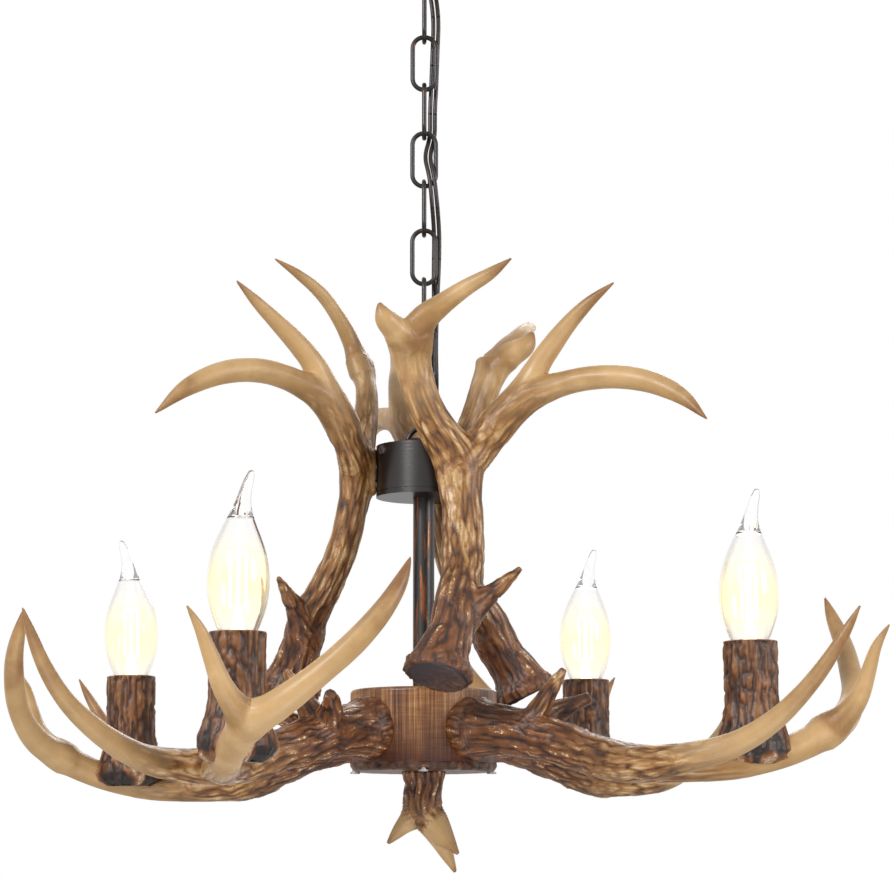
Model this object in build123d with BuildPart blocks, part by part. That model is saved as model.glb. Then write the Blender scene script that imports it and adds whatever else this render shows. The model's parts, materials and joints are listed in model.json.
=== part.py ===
# Antler chandelier: four resin arm antlers on a wood-look hub, three upper
# antlers on a steel collar, four candle lamps, hung on an oval-link chain.
# Millimetres, +Z up.  The origin is the middle of the ceiling face of the
# mounting bar, and everything hangs below it.  Azimuths run anticlockwise
# from +X seen from above, and the front of the fixture is -Y.
import os
from math import radians, tan

from build123d import *

os.makedirs("parts", exist_ok=True)

# ---------------------------------------------------------------- dimensions
clear = 0.1                     # running clearance of a round piece in its hole
seat_gap = 0.1                  # gap left between two shaped faces that meet
cutter_reach = 34.75            # how far a shaping cylinder runs past what it shapes

# ceiling fitting
canopy_radius = 60.0
canopy_height = 18.0
canopy_wall = 1.2
canopy_shoulder = 12.0          # radius of the rounded lower edge
bar_length = 104.0
bar_width = 20.0
bar_thickness = 2.0
screw_spacing = 88.9            # the two ceiling screws
screw_hole_radius = 2.2
nipple_radius = 5.0
nipple_bore = 3.8
lock_nut_height = 4.0
lock_nut_across = 15.0
ring_nut_height = 4.0
ring_nut_radius = 12.0

# loops of wire that the chain hangs from and that hang from it
loop_wire = 1.6                 # wire radius
loop_width = 24.0               # outside
loop_base_height = 4.5
canopy_loop_reach = 22.1        # base to the inside of the bend
body_loop_reach = 10.7          # collar top to the inside of the bend

# chain
link_count = 9
link_pitch = 32.0
link_wire = 1.5                 # wire radius
link_inner_width = 12.0
link_slack = 0.1                # play of one link in the next

# collar
collar_radius = 30.0
collar_height = 32.5
collar_wall = 1.6
collar_lip = 2.4                # rolled band at the lower edge
collar_floor = 2.5
collar_groove = 0.4
lid_thickness = 1.2
lid_skirt = 6.0
lid_screw_radius = 1.5
lid_screw_head_radius = 2.7
lid_screw_head = 1.2
loop_hex_height = 3.8
loop_hex_across = 25.4
entry_radius = 4.6              # hole in the lid for the supply leads
grommet_bore = 3.1
grommet_flange = 1.0

# stem
stem_radius = 6.7
stem_bore = 5.2
stem_nut_height = 5.0
stem_nut_across = 22.0
stem_visible = 121.2            # between the collar and the hub
stem_in_collar = 7.5
stem_in_hub = 12.0

# hub
hub_radius = 45.5
hub_height = 50.5
hub_wall = 6.0
hub_top_thickness = 5.0
hub_plate_thickness = 5.0
hub_edge = 6.0                  # rounding of the lower edge
plate_screw_radius = 1.9
plate_screw_head_radius = 3.0
plate_screw_head = 1.2
plate_screw_length = 16.0
plate_screw_inset = 3.2         # of the screws' axes from the hub's side
finial_bolt_radius = 4.0
finial_bolt_in_antler = 20.0
finial_bolt_head_across = 13.0
finial_bolt_head = 6.5
terminal_width = 22.0
terminal_height = 16.0
terminal_entry_radius = 2.7

# arm fastening
arm_axis_height = 25.5          # of the beam end above the hub's lower edge
arm_bolt_side = -3.0
arm_bolt_radius = 4.0
arm_bolt_in_antler = 22.0
arm_bolt_head_radius = 6.5
arm_bolt_head = 4.0
arm_bolt_head_gap = 1.3         # between the head and the curved inside of the wall
arm_hole_inset = 15.5           # where the arms' bolt and wire holes start, inside the hub's side
arm_hole_run = 30.0             # their length, which takes them out past the hub's side
arm_burr_radius = 18.0
arm_burr_depth = 11.0
lamp_wire_radius = 1.3
lamp_wire_height = 35.5         # of the wire where it passes the hub's wall
lamp_channel_radius = 1.5

# candle lamps, standing on the crown branch of each arm
lamp_out = 212.6                # along the arm
lamp_side = 59.8                # to the left of it
sleeve_radius = 16.5
sleeve_wall = 2.8
sleeve_top = 70.0               # above the hub's lower edge
sleeve_depth = 42.0             # bore, from the top down
boot_height = 33.0              # where the boot starts to flare
boot_radius = 24.5
boot_low = 3.0
holder_radius = 13.0
holder_drop = 3.5               # holder top under the sleeve top
socket_depth = 24.0
cap_radius = 6.9                # screw cap of the bulb
cap_length = 21.0
wire_hole_radius = 3.0
wire_entry_radius = 5.0
glass_wall = 0.9
filament_radius = 0.9

# upper antlers
upper_burr_radius = 19.2
upper_burr_depth = 7.0
lug_height = 30.0
lug_width = 15.0
lug_screw_radius = 2.5
lug_screw_head_radius = 4.6
lug_screw_head = 2.4
lug_screw_grip = 11.0           # thread length beyond the collar wall
lug_screw_heights = [-12.5, -24.0]
lug_turn = 21.0                 # the lug's middle, left of the antler's own plane

# supply leads: two insulated wires that run down along the chain
lead_radius = 1.4

# ------------------------------------------------------------------- heights
canopy_bottom = -canopy_height
canopy_loop_base = canopy_bottom - ring_nut_height
chain_top = canopy_loop_base - canopy_loop_reach
chain_bottom = chain_top - link_count * link_pitch
collar_top = chain_bottom - body_loop_reach
collar_bottom = collar_top - collar_height
stem_top = collar_bottom + stem_in_collar
hub_top = collar_bottom - stem_visible
stem_bottom = hub_top - stem_in_hub
hub_bottom = hub_top - hub_height
arm_hole_start = hub_radius - arm_hole_inset

# ------------------------------------------------------------------ positions
arm_turn = {"front_left": -133.6, "front_right": -45.2, "back_right": 43.7, "back_left": 135.2}
arm_rise = {"front_left": 0.0, "front_right": 0.75, "back_right": 0.13, "back_left": -1.17}
upper_turn = {"front": -81.0, "left": 159.0, "back": 49.0}

# Antler centrelines.  Each station is x along the arm, y to its left, height,
# half width and half thickness.  The arm antlers' heights are above the hub's
# lower edge, the upper antlers' above the collar's top, and the finial's are
# above the hub's lower edge.
arm_main_tine = [
    (40, -3, 26, 15.5, 15.5),
    (56, -2.5, 24.5, 15.5, 15.5),
    (75, 0, 22, 14.5, 14.5),
    (100, 3, 16.5, 13.2, 13.2),
    (128, 4, 8.5, 12.6, 12.2),
    (158, 1, 1.5, 12.2, 11.2),
    (190, -5, -1.5, 10.4, 9.8),
    (218, -4, 0.5, 8.6, 8.6),
    (244, 2, 6, 7.3, 7.3),
    (268, 4.5, 16.5, 6.3, 6.3),
    (290, 5.5, 31.5, 5.2, 5.2),
    (307, 8, 49, 4.3, 4.3),
    (319, 11, 66, 3.0, 3.0),
    (327, 13.2, 79, 0.9, 0.9),
]
arm_crown_tine = [
    (140, 2, 3, 9.5, 8.5),
    (168, 9, -2.5, 12.5, 9.0),
    (192, 25, -3.6, 11.5, 8.6),
    (212, 50, -1.5, 9.4, 8.6),
    (228, 74, 6, 9.0, 8.8),
    (238, 98, 17.5, 9.8, 9.4),
    (236, 118, 26.5, 8.6, 8.6),
    (227, 139, 42, 7.0, 7.0),
    (213, 155, 61, 6.7, 6.7),
    (201, 164, 79, 5.6, 5.6),
    (192, 167, 94, 3.8, 3.8),
    (186.5, 168, 106, 0.9, 0.9),
]
arm_side_tine = [
    (236, 96, 17, 8.5, 8.5),
    (249, 99, 25, 7.6, 7.6),
    (260, 100, 36, 6.0, 6.0),
    (268, 99.5, 51, 4.6, 4.6),
    (275, 98.5, 65, 3.2, 3.2),
    (285, 98.5, 77.5, 0.9, 0.9),
]
arm_brow_tine = [
    (86, 0, 22, 8.5, 8.5),
    (98, 0, 34, 6.6, 6.6),
    (108, 0, 45, 5.0, 5.0),
    (119, 0, 57, 2.2, 2.2),
]
arm_back_knob = [
    (84, 2, 22, 9.0, 9.0),
    (97, 17, 33, 6.8, 6.8),
    (112, 31, 42, 3.6, 3.6),
]
upper_main_tine = [
    (94, -6.5, -152, 17.5, 15.5),
    (90, -3.5, -141, 16.0, 14.5),
    (83, 3, -127, 13.8, 12.8),
    (75, 8, -108, 13.2, 11.0),
    (59, 14.7, -86, 13.2, 9.6),
    (47, 17, -61, 13.2, 8.8),
    (41, 17, -36, 13.2, 8.6),
    (39.5, 14, -14, 14.6, 8.6),
    (41.5, 3, 3, 12.4, 8.4),
    (42.5, -6, 20, 11.2, 7.6),
    (44.5, -13, 41, 11.4, 6.4),
    (51, -16, 60, 12.6, 6.2),
]
upper_crown_front = [
    (50, -16, 57, 10.0, 6.2),
    (54.5, -9, 71, 9.0, 7.2),
    (58, 3, 81, 6.8, 6.8),
    (64, 16, 90, 5.4, 5.4),
    (74, 29, 97, 4.0, 4.0),
    (89, 40, 104, 0.9, 0.9),
]
upper_crown_left = [
    (49.2, -15.5, 53, 9.6, 6.0),
    (55, -11, 74, 7.4, 5.6),
    (60, 0, 89, 5.2, 4.8),
    (66.5, 13, 102, 4.4, 4.4),
    (76, 26, 112, 3.2, 3.2),
    (88, 37, 121, 0.9, 0.9),
]
upper_crown_back = [
    (50, -16, 57, 10.0, 6.2),
    (60, -17, 68, 8.4, 7.0),
    (74, -15, 77, 7.0, 6.6),
    (90, -9, 86, 5.4, 5.4),
    (107, -1, 93, 3.8, 3.8),
    (124, 9, 97, 0.9, 0.9),
]
upper_stub = [
    (49, -16, 55, 8.4, 6.6),
    (56, -27, 64, 7.8, 7.4),
    (61.5, -34.5, 71, 6.2, 6.2),
    (63.5, -38, 79, 1.4, 1.4),
]
upper_outer_tine = [
    (41, 10, -22, 10.0, 7.4),
    (37, 26, -8, 11.8, 8.8),
    (38.5, 40, 9, 11.2, 9.2),
    (42.5, 53, 26, 9.2, 8.6),
    (47.5, 62.5, 43, 7.4, 7.4),
    (56, 71.5, 57, 6.6, 6.6),
    (65.5, 80, 69, 5.4, 5.4),
    (75, 91, 81, 3.8, 3.8),
    (83, 105.5, 92.8, 0.9, 0.9),
]
upper_long_tine = [
    (38.5, 38, 8, 9.0, 8.4),
    (45, 55, 23, 9.2, 8.6),
    (56, 78, 33, 7.8, 7.8),
    (69, 103, 36, 7.5, 7.5),
    (83, 125, 31.5, 7.0, 7.0),
    (98, 143, 20, 5.2, 5.2),
    (112, 155, 4, 0.9, 0.9),
]
upper_brow_tine = [
    (76, 6, -121, 10.0, 9.0),
    (76, 22, -106, 6.8, 6.4),
    (77, 35, -95, 4.6, 4.6),
    (79, 47, -84.5, 1.8, 1.8),
]
finial_trunk = [
    (0, 0, 0, 13.7, 13.7),
    (0, 0, -7, 12.0, 12.0),
    (-0.4, 0, -16, 11.2, 11.0),
    (0.5, 0, -24, 10.6, 9.8),
    (7, -1.5, -32, 8.2, 8.2),
    (14, -5, -41, 5.6, 5.6),
    (21.5, -9, -50.5, 1.2, 1.2),
]
finial_left_tine = [
    (-1, 0, -18, 9.0, 8.6),
    (-7, -1, -27, 6.8, 6.6),
    (-15, -2, -36, 4.4, 4.4),
    (-22, -3, -44, 1.2, 1.2),
]
finial_low_tine = [
    (2, 1, -22, 8.6, 8.6),
    (7, 3, -34, 7.2, 7.2),
    (13.5, 6, -48, 4.9, 4.9),
    (20, 8, -61.5, 1.2, 1.2),
]

# Flame bulb: height above the holder's top, radius, and the lean of the tip.
bulb_rings = [
    (0.6, 8.6, 0.0),
    (4, 11.0, 0.0),
    (10, 13.6, 0.0),
    (18, 16.1, 0.0),
    (27, 17.4, 0.0),
    (36, 17.4, 0.0),
    (46, 15.9, 0.1),
    (55, 13.0, 0.2),
    (63, 9.6, 0.5),
    (70, 6.6, 1.1),
    (77, 4.5, 2.2),
    (84, 3.4, 3.8),
    (90, 2.7, 5.6),
    (94, 1.6, 6.8),
]
bulb_inner_rings = 11           # the tip above this ring is solid glass
bulb_lean_turn = {"front_left": 0.0, "front_right": 12.0, "back_right": 5.0, "back_left": 180.0}

# Routes of the two supply leads, from the nipple in the canopy down to the hub.
entry_place = (5.6, 19.5)
outer_lead_route = [
    (1.6, 0.0, -1.0),
    (1.6, 0.0, -29.0),
    (7.0, 4.1, -41.5),
    (9.4, 2.4, -62.0),
    (8.5, 3.7, -84.0),
    (7.8, 5.9, -106.0),
    (6.9, 7.2, -121.0),
    (6.9, 5.1, -140.0),
    (3.4, 0.2, -154.0),
    (6.4, -4.6, -168.0),
    (8.3, -4.2, -185.0),
    (9.9, 3.1, -205.0),
    (9.5, 3.6, -226.0),
    (8.3, 3.1, -250.0),
    (7.6, 3.8, -278.0),
    (8.2, 9.2, -304.0),
    (7.4, 18.5, -323.0),
    (7.2, 19.6, -348.0),
    (5.2, 9.7, -359.0),
    (2.0, 0.8, -369.0),
    (1.8, -0.4, -392.0),
    (1.9, 0.5, -425.0),
    (1.7, -0.3, -462.0),
    (1.8, 0.3, -498.0),
    (4.6, 0.0, -515.0),
    (4.6, 0.0, -523.0),
]
inner_lead_route = [
    (-1.6, 0.0, -1.0),
    (-1.6, 0.0, -29.0),
    (3.5, 4.7, -41.5),
    (6.1, 3.0, -62.0),
    (5.3, 4.6, -84.0),
    (4.5, 5.2, -106.0),
    (3.8, 6.0, -121.0),
    (3.8, 4.5, -140.0),
    (0.1, 0.0, -154.0),
    (3.4, -4.8, -168.0),
    (5.0, -5.0, -185.0),
    (6.6, 4.2, -205.0),
    (6.2, 5.5, -226.0),
    (6.4, 6.3, -250.0),
    (5.7, 7.1, -278.0),
    (4.7, 10.4, -304.0),
    (4.0, 18.9, -323.0),
    (4.0, 19.4, -348.0),
    (1.8, 9.5, -359.0),
    (-1.3, 0.7, -369.0),
    (-1.5, 0.4, -392.0),
    (-1.4, -0.5, -425.0),
    (-1.6, 0.3, -462.0),
    (-1.6, -0.2, -498.0),
    (-4.6, 0.0, -515.0),
    (-4.6, 0.0, -523.0),
]
lamp_wire_route = [
    (8.6, -0.6, 20),
    (19, -1.2, 21),
    (31, -2.8, 35.5),
    (46, -3.2, 35.4),
    (76, -0.6, 31),
    (104, 3.4, 16.5),
    (130, 4.2, 8),
    (158, 5, 0),
    (184, 19, -4),
    (203, 38.5, -4.5),
    (212.6, 59.8, -3.5),
    (212.6, 59.8, 31),
]


# ------------------------------------------------------------------ functions
standing = (Align.CENTER, Align.CENTER, Align.MIN)
hanging = (Align.CENTER, Align.CENTER, Align.MAX)


def keep(piece, label):
    """Name a finished piece and write it."""
    piece.part.label = label
    export_step(piece.part, f"parts/{label}.step")


def tine(stations, grow=0.0, mode=Mode.ADD):
    """Loft a tapering tine through its stations, in the block that calls it."""
    points = [Vector(*station[:3]) for station in stations]
    across = Vector(0, 1, 0)
    sections = []
    for index, station in enumerate(stations):
        before = points[max(index - 1, 0)]
        after = points[min(index + 1, len(points) - 1)]
        along = (after - before).normalized()
        across = (across - along * across.dot(along)).normalized()
        with BuildSketch(Plane(points[index], x_dir=across, z_dir=along)) as section:
            Ellipse(station[3] + grow, (station[4] + grow) * 0.999)
        sections.append(section.sketch)
    loft(sections, mode=mode)


def burr(stations, radius, depth):
    """A raised ring round the cut end of an antler."""
    start = Vector(*stations[0][:3])
    along = (Vector(*stations[1][:3]) - start).normalized()
    with BuildSketch(Plane(start, z_dir=along)) as ring:
        Circle(radius)
    extrude(ring.sketch, amount=depth, taper=8)


def hex_nut(height, across, bore, low):
    """A hexagon nut on the Z axis with its lower face at the height low."""
    with BuildSketch(Plane.XY.offset(low)) as hexagon:
        RegularPolygon(across / 2, 6, major_radius=False)
        Circle(bore + clear, mode=Mode.SUBTRACT)
    extrude(hexagon.sketch, amount=height)


def wire_arch(base, reach, upward):
    """A loop of wire in the XZ plane, from a base plane to the inside of its bend."""
    half = loop_width / 2 - loop_wire
    way = 1 if upward else -1
    bend = base + way * (reach + loop_wire)
    shoulder = bend - way * half
    with BuildLine() as arch:
        Line((-half, 0, base), (-half, 0, shoulder))
        ThreePointArc((-half, 0, shoulder), (0, 0, bend), (half, 0, shoulder))
        Line((half, 0, shoulder), (half, 0, base))
    with BuildSketch(Plane((-half, 0, base), z_dir=(0, 0, way))) as wire:
        Circle(loop_wire)
    sweep(wire.sketch, path=arch.wire())


def lead_radii(route):
    """Bend radii of a lead: 0.45 of the shorter run over the tangent of half the turn."""
    radii = []
    for index in range(1, len(route) - 1):
        first = Vector(*route[index]) - Vector(*route[index - 1])
        second = Vector(*route[index + 1]) - Vector(*route[index])
        half_turn = radians(first.get_angle(second)) / 2
        radii.append(0.45 * min(first.length, second.length) / tan(half_turn))
    return radii


def arm_seat(name):
    """Where an arm and all that stands on it sits, with its small turn and rise."""
    pivot = Pos(hub_radius, 0, arm_axis_height)
    tilt = pivot * Rot(0, -arm_rise[name], 0) * pivot.inverse()
    return Pos(0, 0, hub_bottom) * Rot(0, 0, arm_turn[name]) * tilt


def lead(route, radius, mode=Mode.ADD):
    """Sweep a round lead along its route, in the block that calls it."""
    with BuildLine() as line:
        FilletPolyline(*route, radius=lead_radii(route))
    first = Vector(*route[0])
    with BuildSketch(Plane(first, z_dir=Vector(*route[1]) - first)) as end:
        Circle(radius)
    sweep(end.sketch, path=line.wire(), mode=mode)


# ------------------------------------------------------------ ceiling fitting
with BuildPart() as ceiling_bar:
    with BuildSketch(Plane.XY.offset(-bar_thickness)):
        SlotOverall(bar_length, bar_width)
        Circle(nipple_radius + clear, mode=Mode.SUBTRACT)
        with Locations((-screw_spacing / 2, 0), (screw_spacing / 2, 0)):
            Circle(screw_hole_radius, mode=Mode.SUBTRACT)
    extrude(amount=bar_thickness)
keep(ceiling_bar, "ceiling_bar")

with BuildPart() as canopy_cover:
    with BuildSketch(Plane.XY.offset(canopy_bottom)):
        Circle(canopy_radius)
    extrude(amount=canopy_height)
    fillet(canopy_cover.edges().group_by(Axis.Z)[0], canopy_shoulder)
    offset(amount=-canopy_wall, openings=canopy_cover.faces().sort_by(Axis.Z)[-1])
    with BuildSketch(Plane.XY.offset(canopy_bottom - 1)):
        Circle(nipple_radius + clear)
    extrude(amount=canopy_wall + 2, mode=Mode.SUBTRACT)
keep(canopy_cover, "canopy_cover")

nipple_bottom = canopy_loop_base - loop_base_height + 1.0
with BuildPart() as canopy_nipple:
    with BuildSketch(Plane.XY.offset(nipple_bottom)):
        Circle(nipple_radius)
        Circle(nipple_bore, mode=Mode.SUBTRACT)
    extrude(amount=-nipple_bottom)
keep(canopy_nipple, "canopy_nipple")

with BuildPart() as bar_lock_nut:
    hex_nut(lock_nut_height, lock_nut_across, nipple_radius, -bar_thickness - lock_nut_height)
keep(bar_lock_nut, "bar_lock_nut")

with BuildPart() as canopy_ring_nut:
    with BuildSketch(Plane.XY.offset(canopy_loop_base)):
        Circle(ring_nut_radius)
        with PolarLocations(ring_nut_radius, 30):
            Circle(0.6, mode=Mode.SUBTRACT)
        Circle(nipple_radius + clear, mode=Mode.SUBTRACT)
    extrude(amount=ring_nut_height)
keep(canopy_ring_nut, "canopy_ring_nut")

with BuildPart() as canopy_loop:
    with BuildSketch(Plane.XY.offset(canopy_loop_base - loop_base_height)):
        Circle(loop_width / 2 + 0.8)
    extrude(amount=loop_base_height)
    wire_arch(canopy_loop_base - 1, canopy_loop_reach - 1, upward=False)
    with BuildSketch(Plane.XY.offset(nipple_bottom)):
        Circle(nipple_radius + clear)
    extrude(amount=loop_base_height, mode=Mode.SUBTRACT)
    with BuildSketch(Plane.XY.offset(canopy_loop_base - loop_base_height)):
        Circle(nipple_bore)
    extrude(amount=loop_base_height, mode=Mode.SUBTRACT)
keep(canopy_loop, "canopy_loop")

# --------------------------------------------------------------------- chain
link_half_width = link_inner_width / 2 + link_wire
link_straight = (link_pitch + link_slack - link_inner_width) / 2
for number in range(1, link_count + 1):
    middle = chain_top - (number - 0.5) * link_pitch
    upper_end = middle + link_straight
    lower_end = middle - link_straight
    # odd links lie in the YZ plane and even links in the XZ plane
    side = Vector(0, link_half_width, 0) if number % 2 else Vector(link_half_width, 0, 0)
    rise = Vector(0, 0, link_half_width)
    with BuildPart() as chain_link:
        with BuildLine() as link_line:
            top = Vector(0, 0, upper_end)
            low = Vector(0, 0, lower_end)
            Line(low + side, top + side)
            ThreePointArc(top + side, top + rise, top - side)
            Line(top - side, low - side)
            ThreePointArc(low - side, low - rise, low + side)
        with BuildSketch(Plane(low + side, z_dir=(0, 0, 1))):
            Circle(link_wire)
        sweep(path=link_line.wire())
    keep(chain_link, f"chain_link_{number}")

# -------------------------------------------------------------------- collar
post_length = lid_thickness + lock_nut_height + 2
with BuildPart() as body_loop:
    with BuildSketch(Plane.XY.offset(collar_top)):
        RegularPolygon(loop_hex_across / 2, 6, major_radius=False)
    extrude(amount=loop_hex_height)
    wire_arch(collar_top + 0.9, body_loop_reach - 0.9, upward=True)
    with BuildSketch(Plane.XY.offset(collar_top - post_length)):
        Circle(nipple_radius)
    extrude(amount=post_length)
keep(body_loop, "body_loop")

with BuildPart() as loop_lock_nut:
    hex_nut(lock_nut_height, lock_nut_across, nipple_radius, collar_top - lid_thickness - lock_nut_height)
keep(loop_lock_nut, "loop_lock_nut")

lid_turns = [-30.0, 90.0, 210.0]
lid_screw_low = collar_top - lid_thickness - lid_skirt / 2
skirt_radius = collar_radius - collar_wall - clear
with BuildPart() as collar_lid:
    with BuildSketch(Plane.XY.offset(collar_top - lid_thickness)):
        Circle(collar_radius)
    extrude(amount=lid_thickness)
    with BuildSketch(Plane.XY.offset(collar_top - lid_thickness - lid_skirt)):
        Circle(skirt_radius)
        Circle(skirt_radius - 1.4, mode=Mode.SUBTRACT)
    extrude(amount=lid_skirt)
    with BuildSketch(Plane.XY.offset(collar_top - lid_thickness)):
        Circle(nipple_radius + clear)
        with Locations(entry_place):
            Circle(entry_radius)
    extrude(amount=lid_thickness, mode=Mode.SUBTRACT)
    for turn in lid_turns:
        with Locations(Pos(0, 0, lid_screw_low) * Rot(0, 0, turn) * Rot(0, 90, 0)):
            Cylinder(lid_screw_radius + clear, 40, align=standing, mode=Mode.SUBTRACT)
keep(collar_lid, "collar_lid")

with BuildPart() as collar_lid_screws:
    for turn in lid_turns:
        seat = Pos(0, 0, lid_screw_low) * Rot(0, 0, turn) * Pos(collar_radius, 0, 0) * Rot(0, 90, 0)
        with Locations(seat):
            Cylinder(lid_screw_head_radius, lid_screw_head, align=standing)
            Cylinder(lid_screw_radius, 6, align=hanging)
keep(collar_lid_screws, "collar_lid_screws")

with BuildPart() as collar_drum:
    with BuildSketch(Plane.XY.offset(collar_bottom)):
        Circle(collar_radius)
    extrude(amount=collar_height - lid_thickness)
    with BuildSketch(Plane.XY.offset(collar_bottom + collar_floor)):
        Circle(collar_radius - collar_wall)
    extrude(amount=collar_height, mode=Mode.SUBTRACT)
    with BuildSketch(Plane.XY.offset(collar_bottom)):
        Circle(stem_radius + clear)
    extrude(amount=collar_floor, mode=Mode.SUBTRACT)
    with BuildSketch(Plane.XY.offset(collar_bottom + collar_lip)):
        Circle(collar_radius + 1)
        Circle(collar_radius - collar_groove, mode=Mode.SUBTRACT)
    extrude(amount=1.0, mode=Mode.SUBTRACT)
    for turn in lid_turns:
        with Locations(Pos(0, 0, lid_screw_low) * Rot(0, 0, turn) * Rot(0, 90, 0)):
            Cylinder(lid_screw_radius + clear, 40, align=standing, mode=Mode.SUBTRACT)
    for turn in upper_turn.values():
        for height in lug_screw_heights:
            with Locations(Pos(0, 0, collar_top + height) * Rot(0, 0, turn + lug_turn) * Rot(0, 90, 0)):
                Cylinder(lug_screw_radius + clear, 40, align=standing,
                         mode=Mode.SUBTRACT)
keep(collar_drum, "collar_drum")

with BuildPart() as lead_grommet:
    with BuildSketch(Plane.XY.offset(collar_top)):
        with Locations(entry_place):
            Circle(entry_radius + 1.4)
    extrude(amount=grommet_flange)
    with BuildSketch(Plane.XY.offset(collar_top - lid_thickness)):
        with Locations(entry_place):
            Circle(entry_radius - clear)
    extrude(amount=lid_thickness)
    with BuildSketch(Plane.XY.offset(collar_top - lid_thickness)):
        with Locations(entry_place):
            Circle(grommet_bore)
    extrude(amount=lid_thickness + grommet_flange, mode=Mode.SUBTRACT)
keep(lead_grommet, "lead_grommet")

# ---------------------------------------------------------------------- stem
with BuildPart() as stem:
    with BuildSketch(Plane.XY.offset(stem_bottom)):
        Circle(stem_radius)
        Circle(stem_bore, mode=Mode.SUBTRACT)
    extrude(amount=stem_top - stem_bottom)
keep(stem, "stem")

with BuildPart() as stem_nuts:
    hex_nut(stem_nut_height, stem_nut_across, stem_radius, collar_bottom + collar_floor)
    hex_nut(stem_nut_height, stem_nut_across, stem_radius, hub_top - hub_top_thickness - stem_nut_height)
keep(stem_nuts, "stem_nuts")

# ----------------------------------------------------------------------- hub
shell_low = hub_bottom + hub_plate_thickness
shell_height = hub_height - hub_plate_thickness
with BuildPart() as hub_shell:
    with BuildSketch(Plane.XY.offset(shell_low)):
        Circle(hub_radius)
    extrude(amount=shell_height)
    fillet(hub_shell.edges().group_by(Axis.Z)[-1], 2.5)
    with BuildSketch(Plane.XY.offset(shell_low)):
        Circle(hub_radius - hub_wall)
    extrude(amount=shell_height - hub_top_thickness, mode=Mode.SUBTRACT)
    with BuildSketch(Plane.XY.offset(shell_low)):
        Circle(stem_radius + clear)
    extrude(amount=shell_height, mode=Mode.SUBTRACT)
    with BuildSketch(Plane.XY.offset(shell_low)):
        with PolarLocations(hub_radius - plate_screw_inset, 4):
            Circle(plate_screw_radius + clear)
    extrude(amount=plate_screw_length - hub_plate_thickness + 1, mode=Mode.SUBTRACT)
    for name in arm_turn:
        seat = arm_seat(name)
        with Locations(seat * Pos(arm_hole_start, arm_bolt_side, arm_axis_height) * Rot(0, 90, 0)):
            Cylinder(arm_bolt_radius + 0.2, arm_hole_run, align=standing, mode=Mode.SUBTRACT)
        with Locations(seat * Pos(arm_hole_start, arm_bolt_side, lamp_wire_height) * Rot(0, 90, 0)):
            Cylinder(lamp_wire_radius + 0.9, arm_hole_run, align=standing, mode=Mode.SUBTRACT)
keep(hub_shell, "hub_shell")

with BuildPart() as hub_plate:
    with BuildSketch(Plane.XY.offset(hub_bottom)):
        Circle(hub_radius)
        Circle(finial_bolt_radius + clear, mode=Mode.SUBTRACT)
        with PolarLocations(hub_radius - plate_screw_inset, 4):
            Circle(plate_screw_radius + clear, mode=Mode.SUBTRACT)
    extrude(amount=hub_plate_thickness)
keep(hub_plate, "hub_plate")

with BuildPart() as hub_plate_screws:
    with BuildSketch(Plane.XY.offset(hub_bottom - plate_screw_head)):
        with PolarLocations(hub_radius - plate_screw_inset, 4):
            Circle(plate_screw_head_radius)
    extrude(amount=plate_screw_head)
    with BuildSketch(Plane.XY.offset(hub_bottom)):
        with PolarLocations(hub_radius - plate_screw_inset, 4):
            Circle(plate_screw_radius)
    extrude(amount=plate_screw_length)
keep(hub_plate_screws, "hub_plate_screws")

with BuildPart() as finial_bolt:
    with BuildSketch(Plane.XY.offset(hub_bottom - finial_bolt_in_antler)):
        Circle(finial_bolt_radius)
    extrude(amount=finial_bolt_in_antler + hub_plate_thickness)
    with BuildSketch(Plane.XY.offset(hub_bottom + hub_plate_thickness)):
        RegularPolygon(finial_bolt_head_across / 2, 6, major_radius=False)
    extrude(amount=finial_bolt_head)
keep(finial_bolt, "finial_bolt")

terminal_low = hub_bottom + hub_plate_thickness + finial_bolt_head
with BuildPart() as terminal_block:
    with Locations(Pos(0, 0, terminal_low) * Rot(0, 0, 45)):
        Box(terminal_width, terminal_width, terminal_height, align=standing)
    with Locations((-4.6, 0, terminal_low + terminal_height), (4.6, 0, terminal_low + terminal_height)):
        Cylinder(lead_radius + 0.2, 7, align=hanging, mode=Mode.SUBTRACT)
    for name, turn in arm_turn.items():
        seat = arm_seat(name)
        with Locations(seat * Pos(8.2, -0.6, 20) * Rot(0, 90, 0)):
            Cylinder(terminal_entry_radius, 10, align=standing, mode=Mode.SUBTRACT)
keep(terminal_block, "terminal_block")

# -------------------------------------------------------------------- finial
with BuildPart() as finial_antler:
    tine(finial_trunk)
    tine(finial_left_tine)
    tine(finial_low_tine)
    with Locations((0, 0, 1)):
        Cylinder(finial_bolt_radius + clear, finial_bolt_in_antler + 2, align=hanging,
                 mode=Mode.SUBTRACT)
finial_antler.part.locate(Pos(0, 0, hub_bottom - seat_gap))
keep(finial_antler, "finial_antler")

# ---------------------------------------------------------------------- arms
with BuildPart() as arm_shape:
    tine(arm_main_tine)
    tine(arm_crown_tine)
    tine(arm_side_tine)
    tine(arm_brow_tine)
    tine(arm_back_knob)
    burr(arm_main_tine, arm_burr_radius, arm_burr_depth)
    with Locations(Pos(arm_hole_start, arm_bolt_side, arm_axis_height) * Rot(0, 90, 0)):
        Cylinder(arm_bolt_radius + clear, arm_hole_inset + arm_bolt_in_antler + 1,
                 align=standing, mode=Mode.SUBTRACT)
    lead(lamp_wire_route, lamp_channel_radius, mode=Mode.SUBTRACT)

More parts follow.
